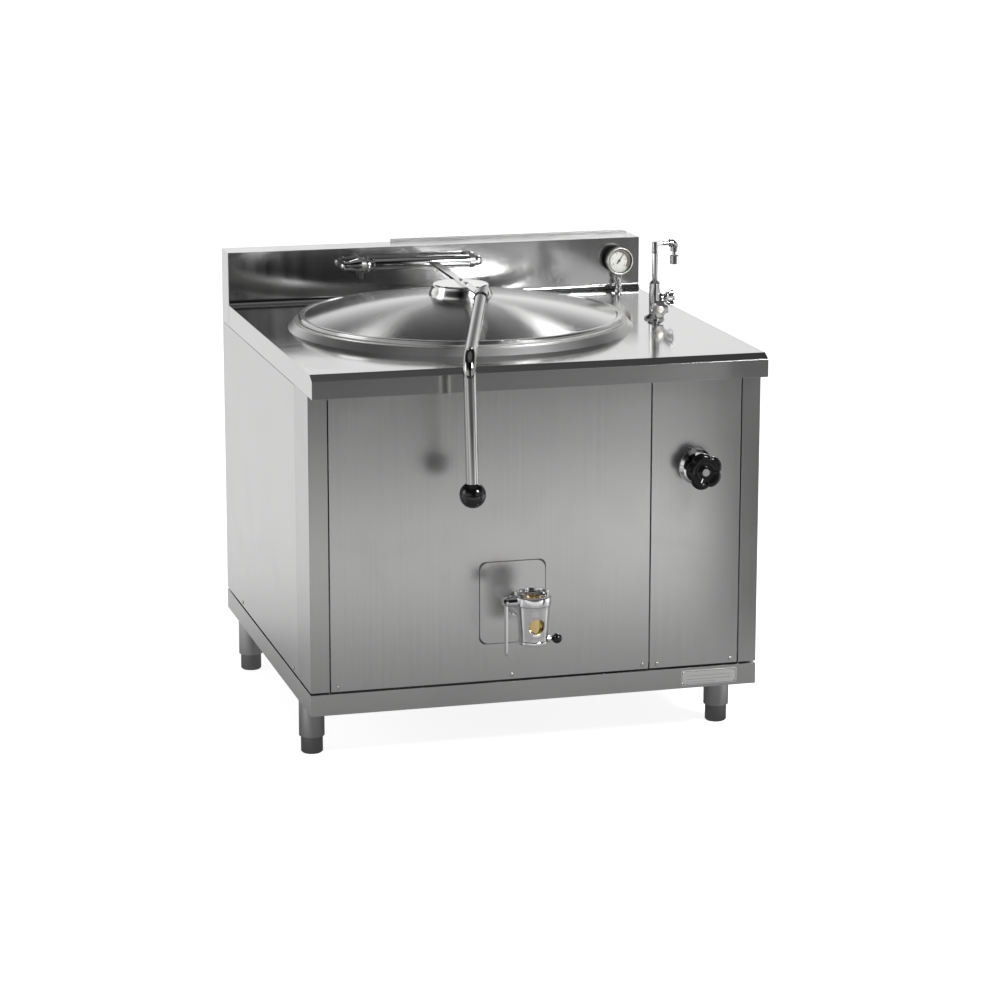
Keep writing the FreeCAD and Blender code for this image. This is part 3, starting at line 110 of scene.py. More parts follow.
def chosen(tree, test, otherwise, picked):
    """Shader that is picked where the ray test holds, and otherwise the other one."""
    mix = tree.nodes.new("ShaderNodeMixShader")
    tree.links.new(tree.nodes.new("ShaderNodeLightPath").outputs[test], mix.inputs[0])
    tree.links.new(otherwise, mix.inputs[1])
    tree.links.new(picked, mix.inputs[2])
    return mix.outputs[0]


# What lights the kettle and shows in its steel is a graded room: pale behind it and to its
# left, dark overhead and round the camera. The camera alone sees plain white there.
world = bpy.data.worlds.new("studio")
bpy.context.scene.world = world
world.use_nodes = True
sky = world.node_tree
sky.nodes.clear()
facing = sky.nodes.new("ShaderNodeSeparateXYZ")
sky.links.new(sky.nodes.new("ShaderNodeTexCoord").outputs["Generated"], facing.inputs[0])
side_place, depth_place, height_place = (
    stretched(sky, facing.outputs[axis], -1, 1) for axis in "XYZ")
depth_tone = ramp_node(sky, depth_place, [
    (0.0, 0.03), (0.45, 0.06), (0.70, 0.45), (0.86, 0.95), (1.0, 1.0)])
side_tone = ramp_node(sky, side_place, [
    (0.0, 0.85), (0.20, 0.50), (0.36, 0.03), (0.60, 0.03), (0.64, 1.0), (0.67, 0.6), (0.90, 0.5)])
height_tone = ramp_node(sky, height_place, [
    (0.0, 1.0), (0.62, 1.0), (0.67, 0.62), (0.72, 0.12), (0.80, 0.03), (1.0, 0.03)])
ceiling_tone = ramp_node(sky, height_place, [(0.90, 0.0), (0.97, 0.18)])
walls = combined(sky, "MULTIPLY", combined(sky, "MAXIMUM", depth_tone, side_tone), height_tone)
room = sky.nodes.new("ShaderNodeBackground")
sky.links.new(combined(sky, "MAXIMUM", walls, ceiling_tone), room.inputs[0])
blank = sky.nodes.new("ShaderNodeBackground")
blank.inputs[0].default_value = (1, 1, 1, 1)
sky_out = sky.nodes.new("ShaderNodeOutputWorld")
sky.links.new(chosen(sky, "Is Camera Ray", room.outputs[0], blank.outputs[0]), sky_out.inputs[0])

# The floor is white paper with a lift that brings it to white a little way from the kettle.
# Mirror rays meet a graded glow in its place instead, a painted reflection up to about twice
# white: dim under the kettle, where it is a painted shadow, and far ahead of it, and
# brightest some two and a half metres in front.
floor_mesh = bpy.data.meshes.new("floor")
floor_mesh.from_pydata([(-40, -40, 0), (40, -40, 0), (40, 60, 0), (-40, 60, 0)], [], [(0, 1, 2, 3)])
floor = bpy.data.objects.new("floor", floor_mesh)
bpy.context.scene.collection.objects.link(floor)
paper = bpy.data.materials.new("paper")
paper.use_nodes = True
sheet = paper.node_tree
sheet.nodes.clear()
kettle_half_plan = (0.45, 0.45, 0)
paper_white = 0.85
mirror_glow = 2.09
spot = sheet.nodes.new("ShaderNodeTexCoord").outputs["Object"]
spot_parts = sheet.nodes.new("ShaderNodeSeparateXYZ")
sheet.links.new(spot, spot_parts.inputs[0])
past_side = vector_step(sheet, "SUBTRACT", vector_step(sheet, "ABSOLUTE", spot), kettle_half_plan)
away = vector_step(sheet, "LENGTH", vector_step(sheet, "MAXIMUM", past_side))
lift = ramp_node(sheet, stretched(sheet, away, 0, 6), [(0.0, 0.86), (0.12, 0.95), (0.3, 1.0)])
matt = sheet.nodes.new("ShaderNodeBsdfDiffuse")
matt.inputs[0].default_value = (paper_white, paper_white, paper_white, 1)
glow = sheet.nodes.new("ShaderNodeEmission")
sheet.links.new(lift, glow.inputs[0])
seen = sheet.nodes.new("ShaderNodeAddShader")
sheet.links.new(matt.outputs[0], seen.inputs[0])
sheet.links.new(glow.outputs[0], seen.inputs[1])
ahead = ramp_node(sheet, stretched(sheet, spot_parts.outputs["Y"], -7, 1), [
    (0.0, 0.05), (0.26, 0.10), (0.30, 0.27), (0.37, 0.04), (0.48, 0.52), (0.57, 1.0),
    (0.66, 0.76), (0.72, 0.47), (0.79, 0.58), (0.82, 1.0), (0.90, 0.0)])
across = ramp_node(sheet, stretched(sheet, spot_parts.outputs["X"], -2, 2), [
    (0.0, 0.50), (0.45, 0.42), (0.61, 0.46), (0.69, 0.53), (0.80, 0.63), (0.875, 0.74), (0.95, 1.0)])
behind = ramp_node(sheet, stretched(sheet, spot_parts.outputs["Y"], -1, 1), [(0.25, 0.0), (0.60, 0.43)])
# Painted shadow seen in the steel: the mirrored glow is dimmed under and round the kettle.
painted_kettle_shadow = ramp_node(sheet, stretched(sheet, away, 0, 2), [
    (0.0, 0.22), (0.10, 0.40), (0.23, 0.72), (0.45, 0.92), (0.75, 1.0)])
open_floor = combined(sheet, "MAXIMUM", combined(sheet, "MULTIPLY", ahead, across), behind)
mirrored = sheet.nodes.new("ShaderNodeEmission")
mirrored.inputs["Strength"].default_value = mirror_glow
sheet.links.new(combined(sheet, "MULTIPLY", open_floor, painted_kettle_shadow), mirrored.inputs[0])
sheet_out = sheet.nodes.new("ShaderNodeOutputMaterial")
sheet.links.new(chosen(sheet, "Is Glossy Ray", seen.outputs[0], mirrored.outputs[0]), sheet_out.inputs[0])
floor_mesh.materials.append(paper)


def softbox(name, place, aim, side, power):
    """Square area light at a place, facing a point."""
    light = bpy.data.lights.new(name, "AREA")
    light.shape = "RECTANGLE"
    light.size = side
    light.size_y = side
    light.energy = power
    lamp = bpy.data.objects.new(name, light)
    lamp.location = place
    lamp.rotation_euler = (Vector(aim) - Vector(place)).to_track_quat("-Z", "Y").to_euler()
    bpy.context.scene.collection.objects.link(lamp)


softbox("key_light", (3.0, -4.2, 4.2), (0, 0, 0.8), 1.6, 290)
softbox("lid_light", (-0.35, 3.0, 3.5), (0, 0, 0.9), 0.5, 4)
softbox("rim_light", (1.78, 3.24, 3.5), (0, 0, 0.9), 0.4, 5.5)
softbox("left_light", (-4.5, 0.5, 2.2), (0, 0, 0.7), 2.0, 22)

# A black card stands in front on the right and darkens the steel's right end: a painted dark
# reflection, which also glows faintly of its own. It shows in reflections alone: the camera,
# shadows and matt surfaces pass through it.
flag_mesh = bpy.data.meshes.new("flag")
flag_mesh.from_pydata([(0.68, -1.2, 0), (1.5, -1.2, 0), (1.5, -1.2, 0.72), (0.68, -1.2, 0.72)],
                      [], [(0, 1, 2, 3)])
flag = bpy.data.objects.new("flag", flag_mesh)
bpy.context.scene.collection.objects.link(flag)
flag.visible_camera = False
flag.visible_shadow = False
flag.visible_diffuse = False
felt = bpy.data.materials.new("black_card")
felt.use_nodes = True
felt_inputs = felt.node_tree.nodes["Principled BSDF"].inputs
felt_inputs["Base Color"].default_value = (0.02, 0.02, 0.02, 1)
felt_inputs["Roughness"].default_value = 0.9
felt_inputs["Emission Color"].default_value = (1, 1, 1, 1)
felt_inputs["Emission Strength"].default_value = 0.15
flag_mesh.materials.append(felt)

# ---- feet, leg tubes and base rails ----------------------------------------------------
# Four stainless tubes with screwed feet stand under a frame of folded rails, welded at
# its corners. The rails are brushed along their length, the tubes and feet polished.


def noise_on(tree, source, scale, detail, distortion=0.0):
    """Value of a cloudy noise, 0 to 1, at the place that a socket gives."""
    noise = tree.nodes.new("ShaderNodeTexNoise")
    noise.inputs["Scale"].default_value = scale
    noise.inputs["Detail"].default_value = detail
    noise.inputs["Distortion"].default_value = distortion
    tree.links.new(source, noise.inputs["Vector"])
    return noise.outputs["Fac"]


def worked(tree, noise, colour, shades, roughness, bump, depth):
    """Carries a noise into the shader, between two shades of its colour.

    roughness is a socket; bump and depth are the strength and height of the relief.
    """
    shader = tree.nodes["Principled BSDF"]
    tree.links.new(roughness, shader.inputs["Roughness"])
    dark, light = shades
    tone = tree.nodes.new("ShaderNodeMix")
    tone.data_type = "RGBA"
    tone.inputs["A"].default_value = tuple(c * dark for c in colour) + (1,)
    tone.inputs["B"].default_value = tuple(min(1, c * light) for c in colour) + (1,)
    tree.links.new(noise, tone.inputs["Factor"])
    tree.links.new(tone.outputs["Result"], shader.inputs["Base Color"])
    if bump:
        relief = tree.nodes.new("ShaderNodeBump")
        relief.inputs["Strength"].default_value = bump
        relief.inputs["Distance"].default_value = depth
        tree.links.new(noise, relief.inputs["Height"])
        tree.links.new(relief.outputs[0], shader.inputs["Normal"])


def metal(name, colour, rough, spread, grain, bump=0.0, smudge=0.0, rings=None):
    """Metal whose roughness follows a noise stretched along the brushing direction.

    grain is the noise frequency per metre along x, y and z; spread is how far the
    roughness swings either side of rough. smudge adds broad dull clouds, as handling
    leaves. rings gives the (x, y) of an upright axis that the metal was spun and brushed
    round, where grain's first number is the frequency outwards.
    """
    m = bpy.data.materials.new(name)
    m.use_nodes = True
    tree = m.node_tree
    shader = tree.nodes["Principled BSDF"]
    shader.inputs["Metallic"].default_value = 1.0
    shader.inputs["Anisotropic"].default_value = 0.9 if rings else 0.0
    shader.inputs["Anisotropic Rotation"].default_value = 0.25 if rings else 0.0
    place = tree.nodes.new("ShaderNodeTexCoord").outputs["Object"]
    stretch = tree.nodes.new("ShaderNodeMapping")
    stretch.inputs["Scale"].default_value = grain
    if rings:
        from_axis = vector_step(tree, "ADD", place, (-rings[0], -rings[1], 0))
        flat = vector_step(tree, "MULTIPLY", from_axis, (1, 1, 0))
        tree.links.new(vector_step(tree, "LENGTH", flat), stretch.inputs[0])
        turning = tree.nodes.new("ShaderNodeTangent")
        turning.direction_type = "RADIAL"
        turning.axis = "Z"
        tree.links.new(turning.outputs[0], shader.inputs["Tangent"])
    else:
        tree.links.new(place, stretch.inputs[0])
    noise = noise_on(tree, stretch.outputs[0], 1.0, 4.0)
    cloud = noise_on(tree, place, 7.0, 3.0, 0.6)
    swing = stretched(tree, noise, 0, 1, rough - spread, rough + spread)
    haze = stretched(tree, cloud, 0.45, 0.75, 0, smudge)
    worked(tree, noise, colour, (0.93, 1.05), combined(tree, "ADD", swing, haze), bump, 0.001)
    return m


def dress(material, *names):
    """Puts one material on every slot of the named CAD nodes."""
    for name in names:
        mesh = nodes[name].data
        mesh.materials.clear()
        mesh.materials.append(material)


def break_edges(width, *names):
    """Breaks the sharp edges of CAD nodes with a narrow rounded bevel."""
    for name in names:
        weld = nodes[name].modifiers.new("weld", "WELD")
        weld.merge_threshold = 1e-6
        bevel = nodes[name].modifiers.new("bevel", "BEVEL")
        bevel.width = width
        bevel.segments = 3
        bevel.limit_method = "ANGLE"
        bevel.angle_limit = math.radians(35)
        bevel.harden_normals = True


foot_steel = metal("foot_steel", (0.30, 0.30, 0.30), 0.14, 0.04, (160, 160, 160), smudge=0.04)
dress(foot_steel, "foot_front_left", "foot_front_right", "foot_rear_left", "foot_rear_right")
leg_steel = metal("leg_steel", (0.50, 0.50, 0.50), 0.10, 0.04, (160, 160, 6), smudge=0.04)
dress(leg_steel, "leg_tubes")
rail_satin = metal("rail_steel", (0.54, 0.54, 0.535), 0.32, 0.05, (5, 5, 900), smudge=0.06)
dress(rail_satin, "base_rails")
rail_edge = 0.0009
break_edges(rail_edge, "base_rails")

# ---- inner frame, corner posts and panels ----------------------------------------------
# Inner struts and a cross-beamed support carry the pan. The outside is folded stainless
# sheet, satin-brushed up and down, held to the frame with small screws.
satin = metal("satin_steel", (0.58, 0.58, 0.575), 0.23, 0.015, (420, 420, 3), smudge=0.03)
dress(satin, "inner_struts", "vessel_support", "front_panel", "service_panel",
      "side_panel_left", "side_panel_right", "back_panel")
# The corner posts take a darker copy of the satin steel: painted shade on the cabinet's corners.
shaded_post_steel = metal("shaded_post_steel", (0.51, 0.51, 0.505), 0.23, 0.015, (420, 420, 3), smudge=0.03)
dress(shaded_post_steel, "corner_post_left", "corner_post_right")
dress(rail_satin, "panel_screws")
panel_edge = 0.0006
break_edges(panel_edge, "front_panel", "service_panel", "side_panel_left", "side_panel_right",
            "back_panel", "corner_post_left", "corner_post_right")

# ---- pan, steam jacket and collar ------------------------------------------------------
# The pan is spun from stainless sheet inside a closed steam jacket. A conical collar,
# finely ground and paler than the panels, leads from the worktop up to the pan's rim.
collar_steel = metal("collar_steel", (0.74, 0.74, 0.735), 0.34, 0.03, (500, 500, 500), smudge=0.04)
dress(collar_steel, "vessel_collar", "inner_vessel")
mirror = metal("polished_steel", (0.60, 0.60, 0.595), 0.10, 0.03, (6, 500, 500), smudge=0.05)
dress(mirror, "steam_jacket")

# ---- pipes -----------------------------------------------------------------------------
# Steam, condensate and drain run in plain steel pipe; thin copper tube leads to the gauge
# and the mixer. All of them lie inside the cabinet, apart from their ends.
pipe = metal("steel_pipe", (0.55, 0.55, 0.54), 0.36, 0.06, (80, 80, 80), smudge=0.06)
dress(pipe, "steam_inlet_pipe", "jacket_steam_pipe", "condensate_pipe", "drain_pipe")
copper = metal("copper", (0.74, 0.42, 0.28), 0.28, 0.06, (60, 60, 60), smudge=0.08)
dress(copper, "gauge_tube", "water_pipes")

# ---- worktop and backsplash ------------------------------------------------------------
# The worktop is one folded sheet with an apron in front and an upstand behind, polished
# nearly to a mirror. The backsplash is a duller sheet with a ground strip along its top.
dress(mirror, "worktop")
splash = metal("backsplash_steel", (0.60, 0.60, 0.60), 0.13, 0.05, (70, 70, 1.5), smudge=0.04)
dress(splash, "backsplash")
pale = metal("strip_steel", (0.68, 0.68, 0.675), 0.34, 0.12, (25, 60, 60), bump=0.3, smudge=0.1)
dress(pale, "backsplash_strip")
break_edges(rail_edge, "worktop", "backsplash")
break_edges(panel_edge, "backsplash_strip")

# ---- lid hinge -------------------------------------------------------------------------
# Two brackets carry a polished tube with a shaft through it. A coiled spring inside the
# tube and its tapered hub balances the lid.
dress(rail_satin, "hinge_bracket_left", "hinge_bracket_right")
chrome = metal("chrome", (0.80, 0.80, 0.80), 0.06, 0.02, (60, 60, 60), smudge=0.04)
dress(chrome, "hinge_tube", "hinge_shaft", "spring_hub")
dress(satin, "torsion_spring")
break_edges(panel_edge, "hinge_tube")

# ---- lid, arm and lever ----------------------------------------------------------------
# The domed lid is spun, so its brushing runs in rings, and hangs by a boss from a flat
# polished arm. The bent lever is polished tube and ends in a black plastic ball.
lid_low, lid_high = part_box("lid_shell")
lid_axis = ((lid_low.x + lid_high.x) / 2, (lid_low.y + lid_high.y) / 2)
spun = metal("spun_steel", (0.66, 0.66, 0.655), 0.23, 0.03, (700, 700, 700), rings=lid_axis)
dress(spun, "lid_shell")
cap_steel = metal("cap_steel", (0.84, 0.84, 0.83), 0.15, 0.03, (300, 300, 300), smudge=0.04)
dress(cap_steel, "lid_cap")
dress(chrome, "lid_screws")
dress(mirror, "lid_arm")
# The lever takes a darker copy of the polished steel: painted shade over its reflections.
shaded_bar_steel = metal("shaded_bar_steel", (0.46, 0.46, 0.455), 0.09, 0.03, (400, 400, 8), smudge=0.04)
dress(shaded_bar_steel, "lid_lever")
break_edges(panel_edge, "lid_arm", "lid_cap")


def solid_colour(name, colour, rough, spread, grain, coat=0.0, bump=0.0):
    """Non-metal whose tone and roughness follow a fine noise of the given frequency."""
    m = bpy.data.materials.new(name)
    m.use_nodes = True
    tree = m.node_tree
    shader = tree.nodes["Principled BSDF"]
    shader.inputs["Coat Weight"].default_value = coat
    shader.inputs["Coat Roughness"].default_value = 0.04
    place = tree.nodes.new("ShaderNodeTexCoord").outputs["Object"]
    noise = noise_on(tree, place, grain, 5.0)
    swing = stretched(tree, noise, 0, 1, rough - spread, rough + spread)
    worked(tree, noise, colour, (0.9, 1.06), swing, bump, 0.0005)
    return m


black = solid_colour("black_plastic", (0.004, 0.004, 0.0045), 0.10, 0.03, 90, coat=0.15)
dress(black, "handle_ball")
rubber = solid_colour("silicone", (0.78, 0.78, 0.74), 0.50, 0.08, 140, bump=0.2)
dress(rubber, "lid_gasket")

# ---- rating plate ----------------------------------------------------------------------
# A bare aluminium plate with printed rules is fixed to the front rail's right end with
# four small domed screws.


def axes(direction):
    """Two directions across the given one, as rows, and the direction itself."""
    along = np.array(direction, float)
    across = np.array([0.0, 0.0, 1.0]) if abs(along[2]) < 0.5 else np.array([1.0, 0.0, 0.0])
    return np.array([np.cross(across, along), across, along])


def closed_grid(name, grid, material, body, loop=False, smooth=True):
    """Closed piece from rings of points, grid[i, k] being point k of ring i.

    Quad (i, k) joins points k and k + 1 of rings i and i + 1, counted round the ring. Each
    end ring is closed with one face or, with loop, the last ring joins the first.
    """
    rings, count = grid.shape[:2]
    i, k = np.indices((rings if loop else rings - 1, count))
    after, beside = (i + 1) % rings, (k + 1) % count
    corners = (i * count + k, i * count + beside, after * count + beside, after * count + k)
    faces = np.stack(corners, -1).reshape(-1, 4).tolist()
    if not loop:
        numbers = np.arange(rings * count)
        faces += [numbers[:count][::-1].tolist(), numbers[-count:].tolist()]
    mesh = bpy.data.meshes.new(name)
    mesh.from_pydata(grid.reshape(-1, 3).tolist(), [], faces)
    mesh.materials.append(material)
    mesh.polygons.foreach_set("use_smooth", [smooth] * len(faces))
    piece = bpy.data.objects.new(name, mesh)
    bpy.context.scene.collection.objects.link(piece)
    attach(piece, body)
    return piece


def lathe(name, profile, centre, direction, material, body, segments=48):
    """Closed turned piece: each (radius, height) pair is swept once round the direction.

    A point is centre + radius * (cos t * side + sin t * across) + height * direction.
    """
    loop = profile[0] == profile[-1]
    radius, height = np.array(profile[:-1] if loop else profile, float).T[:, :, None]
    t = 2 * np.pi * np.arange(segments) / segments
    local = np.stack((radius * np.cos(t), radius * np.sin(t), height + 0 * t), -1)
    return closed_grid(name, np.array(centre) + local @ axes(direction), material, body, loop)


def slab(name, outline, thickness, centre, direction, material, body, edge=0.0):
    """Flat piece: an outline of (side, across) pairs, thickened along the direction.

    A point is centre + p * side + q * across + height * direction. The outline is turned
    anticlockwise, so that the faces point outwards. A positive edge draws the front
    outline in by that much, as a rounded-over rim.
    """
    flat = np.array(outline, float)
    before = np.roll(flat, 1, axis=0)
    if (before[:, 0] * flat[:, 1] - before[:, 1] * flat[:, 0]).sum() < 0:
        flat = flat[::-1]
    middle = flat.mean(axis=0)
    drawn_in = middle + (flat - middle) * (1 - edge / np.abs(flat - middle).max())
    layers = [(flat, 0.0), (drawn_in, thickness)]
    if edge:
        layers.insert(1, (flat, thickness - edge * 0.6))
    local = np.stack([np.column_stack((shape, np.full(len(flat), height))) for shape, height in layers])
    return closed_grid(name, np.array(centre) + local @ axes(direction), material, body, smooth=False)


def rounded(width, height, radius, steps=6):
    """Outline of a rectangle about the origin with round corners.

    Each corner is a quarter turn, centre + radius * (cos a, sin a), whose centre lies
    radius in from both sides.
    """
    a = np.radians(np.array([[0], [90], [180], [270]]) + np.linspace(0, 90, steps + 1))
    corners = np.array([(1, 1), (-1, 1), (-1, -1), (1, -1)])
    centres = corners * (width / 2 - radius, height / 2 - radius)
    return (centres[:, None] + radius * np.stack((np.cos(a), np.sin(a)), -1)).reshape(-1, 2)


rail_low, rail_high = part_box("base_rails")
front = (0, -1, 0)
plate_width, plate_height, plate_corner = 0.128, 0.033, 0.003
plate_thickness = 0.0008
plate_x = rail_high.x - 0.108
plate_z = (rail_low.z + rail_high.z) / 2
plate_face = (plate_x, rail_low.y - plate_thickness, plate_z)
plate_metal = metal("plate_aluminium", (0.86, 0.86, 0.85), 0.46, 0.05, (5, 5, 700), bump=0.05, smudge=0.08)
slab("rating_plate", rounded(plate_width, plate_height, plate_corner), plate_thickness,
     (plate_x, rail_low.y, plate_z), front, plate_metal, "cabinet", edge=0.0004)
screw_head = [(0.0022, 0), (0.0022, 0.0005), (0.0015, 0.0011), (0.0004, 0.0013)]
screw_out, screw_up = 0.060, 0.0125
for k, (dx, dz) in enumerate(((-1, -1), (1, -1), (-1, 1), (1, 1))):
    lathe("plate_screw_%d" % (k + 1), screw_head,
          (plate_face[0] + dx * screw_out, plate_face[1], plate_face[2] + dz * screw_up),
          front, chrome, "cabinet", segments=20)
ink = solid_colour("dial_ink", (0.02, 0.02, 0.02), 0.5, 0.05, 400)
rules = ((-0.062, 0.062, 0.0142, 0.0148), (-0.062, 0.062, -0.0148, -0.0142),
         (0.0616, 0.0622, -0.0148, 0.0148), (-0.0622, -0.0616, -0.0148, 0.0148),
         (-0.052, 0.050, 0.0040, 0.0044), (-0.052, 0.050, -0.0040, -0.0036),
         (-0.052, 0.015, -0.0100, -0.0096))
for k, (x0, x1, z0, z1) in enumerate(rules):
    slab("plate_rule_%d" % (k + 1), [(x0, z0), (x1, z0), (x1, z1), (x0, z1)], 0.0001,
         plate_face, front, ink, "cabinet")

# ---- drain tap and cover plate ---------------------------------------------------------
# A satin plate closes the panel's opening round the drain; a dark slab under it shows as a thin
# dark line round its edge. The tap is polished, with a brass plug, a hanging lever and a pin
# with a black ball.
dress(satin, "drain_cover_plate")
cover_low, cover_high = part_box("drain_cover_plate")
panel_low, panel_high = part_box("front_panel")
bead_over = 0.0030
bead_corner = 0.0135
bead_below_plate = 0.0002
dark_outline = solid_colour("dark_outline", (0.05, 0.05, 0.05), 0.5, 0.08, 200, bump=0.2)
slab("cover_bead",
     rounded(cover_high.x - cover_low.x + bead_over, cover_high.z - cover_low.z + bead_over, bead_corner),
     panel_low.y - cover_low.y - bead_below_plate,
     ((cover_low.x + cover_high.x) / 2, panel_low.y, (cover_low.z + cover_high.z) / 2), front, dark_outline,
     "cabinet")
dress(chrome, "drain_tap_body", "drain_lever")
brass = metal("brass", (0.74, 0.56, 0.25), 0.22, 0.05, (40, 40, 900), smudge=0.08)
dress(brass, "drain_plug")
dress(black, "drain_lock")
break_edges(panel_edge, "drain_tap_body")

# ---- gauge -----------------------------------------------------------------------------
# A black case on a turned stem has a snap-on metal bezel over the glass. The card carries
# a fine scale, a red-brown working arc and plain numbers.


def arc_band(r_in, r_out, start, end, steps=40):
    """Outline of a ring's part between two clock angles in degrees, 0 at the top.

    Its edges are r_out * (sin t, cos t), and r_in * (sin t, cos t) on the way back.
    """
    t = np.radians(np.linspace(start, end, steps))
    edge = np.column_stack((np.sin(t), np.cos(t)))
    return np.vstack((r_out * edge, r_in * edge[::-1]))


dress(chrome, "gauge_stem")
enamel = solid_colour("gauge_enamel", (0.02, 0.02, 0.021), 0.30, 0.06, 200, bump=0.1)
dress(enamel, "gauge_case")
card = solid_colour("dial_card", (1.0, 0.985, 0.90), 0.45, 0.05, 260)
dress(card, "gauge_dial")
dress(ink, "gauge_pointer")
pane = solid_colour("gauge_glass", (0.9, 0.93, 0.93), 0.05, 0.02, 60)
pane.node_tree.nodes["Principled BSDF"].inputs["Alpha"].default_value = 0.06
dress(pane, "gauge_lens")
dial_low, dial_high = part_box("gauge_dial")
case_low, case_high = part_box("gauge_case")
gauge_x = (case_low.x + case_high.x) / 2
gauge_z = (case_low.z + case_high.z) / 2
gauge_r = (case_high.x - case_low.x) / 2
card_y = dial_low.y
dial_middle = (gauge_x, card_y, gauge_z)
bezel_metal = metal("bezel_metal", (0.97, 0.95, 0.86), 0.45, 0.04, (60, 60, 60), smudge=0.04)
bezel_profile = [(gauge_r * 0.90, 0.0002), (gauge_r * 0.985, 0.0002), (gauge_r * 0.985, -0.0095),
                 (gauge_r + 0.0001, -0.0095), (gauge_r + 0.0001, 0.0), (gauge_r * 0.97, 0.0013),
                 (gauge_r * 0.92, 0.0011), (gauge_r * 0.90, 0.0002)]
lathe("gauge_bezel", bezel_profile, (gauge_x, case_low.y, gauge_z), front, bezel_metal,
      "cabinet", segments=72)
print_depth = 0.0003
red_ink = solid_colour("dial_red", (0.30, 0.09, 0.07), 0.5, 0.05, 400)
slab("gauge_red_arc", arc_band(0.0205, 0.0235, 0, 130), print_depth, dial_middle, front,
     red_ink, "cabinet")
slab("gauge_scale_arc", arc_band(0.0215, 0.0222, -130, -3), print_depth, dial_middle, front,
     ink, "cabinet")
scale_start = -130
mark_outer = 0.0262
for k in range(27):
    turn = scale_start + 10 * k
    numbered = k % 5 == 1
    mark_inner = 0.0225 if numbered else 0.0235
    half_width = 0.9 if numbered else 0.35
    slab("gauge_mark_%02d" % k, arc_band(mark_inner, mark_outer, turn - half_width, turn + half_width, 3),
         print_depth, dial_middle, front, ink, "cabinet")


def dial_number(name, digit, place):
    """One plain printed digit, standing upright at a place on the dial."""
    words = bpy.data.curves.new(name, "FONT")
    words.body = digit
    words.size = 0.0062
    words.align_x = "CENTER"
    words.align_y = "CENTER"
    words.extrude = 0.0001
    pattern = bpy.data.objects.new(name + "_pattern", words)
    mesh = bpy.data.meshes.new_from_object(pattern)
    bpy.data.objects.remove(pattern)
    mesh.name = name
    mesh.transform(Matrix.Translation(place) @ Matrix.Rotation(math.pi / 2, 4, "X"))
    closed = bmesh.new()
    closed.from_mesh(mesh)
    bmesh.ops.remove_doubles(closed, verts=closed.verts, dist=1e-6)
    bmesh.ops.recalc_face_normals(closed, faces=closed.faces)
    closed.to_mesh(mesh)
    closed.free()
    mesh.materials.clear()
    mesh.materials.append(ink)
    number = bpy.data.objects.new(name, mesh)
    bpy.context.scene.collection.objects.link(number)
    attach(number, "cabinet")


number_r = 0.0168
number_lift = 0.0002
for k in range(6):
    turn = math.radians(-120 + 50 * k)
    dial_number("gauge_number_%d" % k, str(k),
                (gauge_x + number_r * math.sin(turn), card_y - number_lift,
                 gauge_z + number_r * math.cos(turn)))

# ---- steam valve and handwheel ---------------------------------------------------------
# A brass valve behind the service panel has its spindle brought out through a rosette.
# The wheel is one black moulding with five fat grips and a dished face; a white stroke
# points along one grip, and a pale metal cap sits in the middle.


def grips(name, section, turned, material, body, segments=180):
    """Moulded wheel with five grips, of radius R and thickness T.

    The reach at an angle t is rho * R * (1 - 0.20 * min(1, rho)^2 * w), where
    w = 1 - sqrt(|cos(2.5 (t - turned))| + 0.02). section gives (rho, depth) pairs as
    shares of R and T, from the middle of the back round the rim to the middle of the face.
    """
    rho, depth = np.array(section, float).T[:, :, None]
    t = np.linspace(0, 2 * np.pi, segments, endpoint=False)
    wave = 1 - np.sqrt(np.abs(np.cos(2.5 * (t - turned))) + 0.02)
    reach = rho * wheel_r * (1 - 0.20 * np.minimum(1.0, rho) ** 2 * wave)
    grid = np.stack((wheel_x + reach * np.cos(t), wheel_high.y - depth * wheel_t + 0 * t,
                     wheel_z + reach * np.sin(t)), -1)
    return closed_grid(name, grid, material, body)


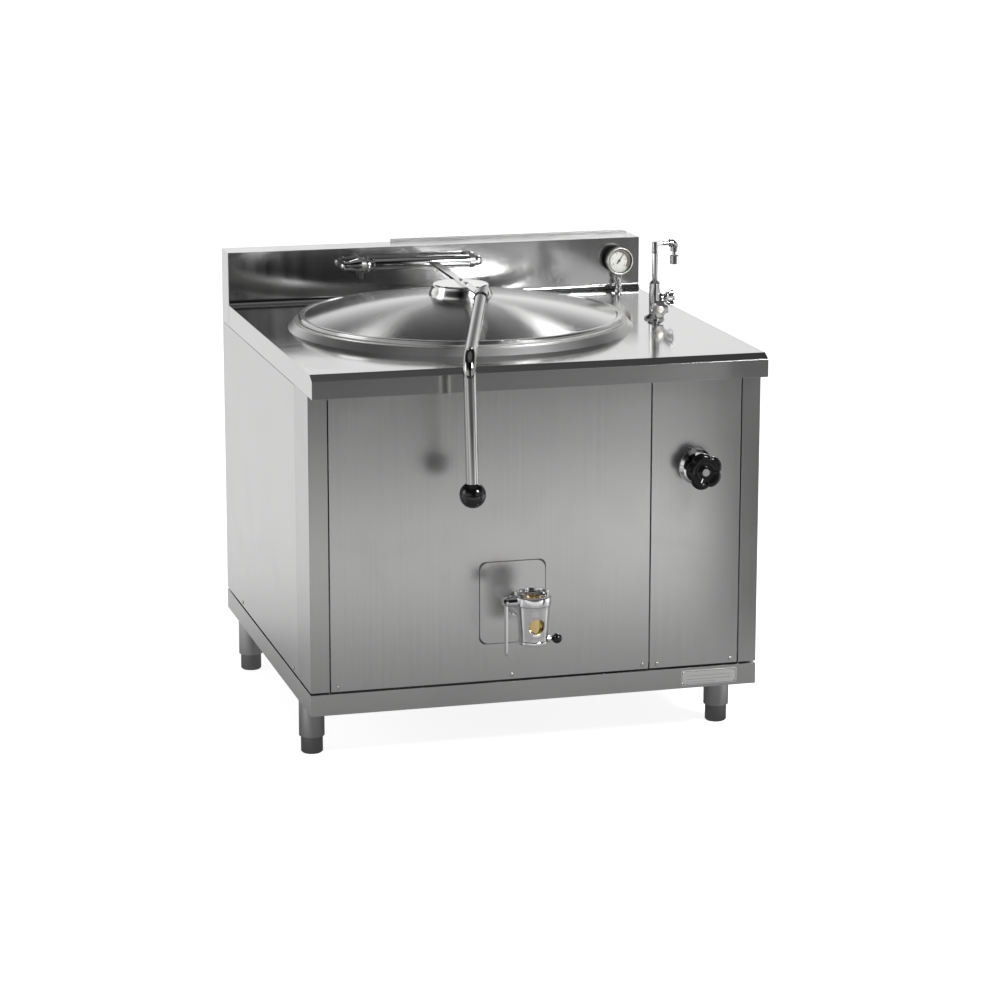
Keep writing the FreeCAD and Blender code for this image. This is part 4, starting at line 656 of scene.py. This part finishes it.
dress(brass, "valve_plug", "steam_valve_body")
dress(pipe, "valve_spindle")
dress(chrome, "valve_rosette")
dress(black, "steam_handwheel")
wheel_low, wheel_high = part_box("steam_handwheel")
stem_low, stem_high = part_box("valve_spindle")
wheel_x = (stem_low.x + stem_high.x) / 2
wheel_z = (stem_low.z + stem_high.z) / 2
wheel_r = (wheel_high.z - wheel_low.z) / (1 + math.cos(math.pi / 5))
wheel_t = wheel_high.y - wheel_low.y
stroke_turn = math.radians(-111)
wheel_black = solid_colour("wheel_black", (0.004, 0.004, 0.004), 0.14, 0.04, 150, coat=0.1, bump=0.05)
wheel_black.node_tree.nodes["Principled BSDF"].inputs["Specular IOR Level"].default_value = 0.25
wheel_section = [(0.28, 0.0), (0.40, 0.02), (0.55, 0.28), (0.80, 0.34), (0.93, 0.42), (0.985, 0.55),
                 (0.99, 0.70), (0.95, 0.84), (0.86, 0.95), (0.74, 1.0), (0.66, 0.98),
                 (0.60, 0.91), (0.34, 0.88), (0.30, 0.93), (0.22, 0.95), (0.12, 0.95)]
wheel = grips("handwheel_grips", wheel_section, stroke_turn, wheel_black, "handwheel")
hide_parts("steam_handwheel")
lathe("wheel_cap", [(0.0062, 0.0), (0.0062, 0.0012), (0.0050, 0.0022), (0.0020, 0.0027)],
      (wheel_x, wheel_low.y + 0.05 * wheel_t, wheel_z), front, cap_steel, "handwheel",
      segments=36)
white_ink = solid_colour("index_white", (0.80, 0.80, 0.78), 0.4, 0.05, 300)
stroke_in, stroke_out, stroke_half = 0.36 * wheel_r, 0.60 * wheel_r, 0.0009
turn_cos, turn_sin = math.cos(stroke_turn), math.sin(stroke_turn)
stroke = np.array([(stroke_in, -stroke_half), (stroke_out, -stroke_half),
                   (stroke_out, stroke_half), (stroke_in, stroke_half)])
stroke = stroke @ np.array([(turn_cos, turn_sin), (-turn_sin, turn_cos)])
slab("wheel_stroke", stroke, 0.0006, (wheel_x, wheel_low.y + 0.11 * wheel_t, wheel_z), front,
     white_ink, "handwheel")

# ---- water mixer -----------------------------------------------------------------------
# The mixer is chromed and stands on the worktop's right side, with a swivelling spout.
# Each knob has a disc let into its end, blue-green on the cold one.
dress(chrome, "water_tap_body", "water_spout", "water_handle_cold", "water_handle_hot")
break_edges(panel_edge, "water_tap_body")
index_disc = [(0.0085, -0.0002), (0.0085, 0.0006), (0.0070, 0.0012), (0.0010, 0.0014)]
teal = solid_colour("cold_index", (0.05, 0.36, 0.38), 0.25, 0.05, 200, coat=0.5)
cold_low, cold_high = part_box("water_handle_cold")
lathe("cold_index", index_disc,
      (cold_high.x, (cold_low.y + cold_high.y) / 2, (cold_low.z + cold_high.z) / 2), (1, 0, 0), teal,
      "cold_handle", segments=36)
hot_low, hot_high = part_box("water_handle_hot")
lathe("hot_index", index_disc,
      ((hot_low.x + hot_high.x) / 2, hot_low.y, (hot_low.z + hot_high.z) / 2), front, bezel_metal,
      "hot_handle", segments=36)
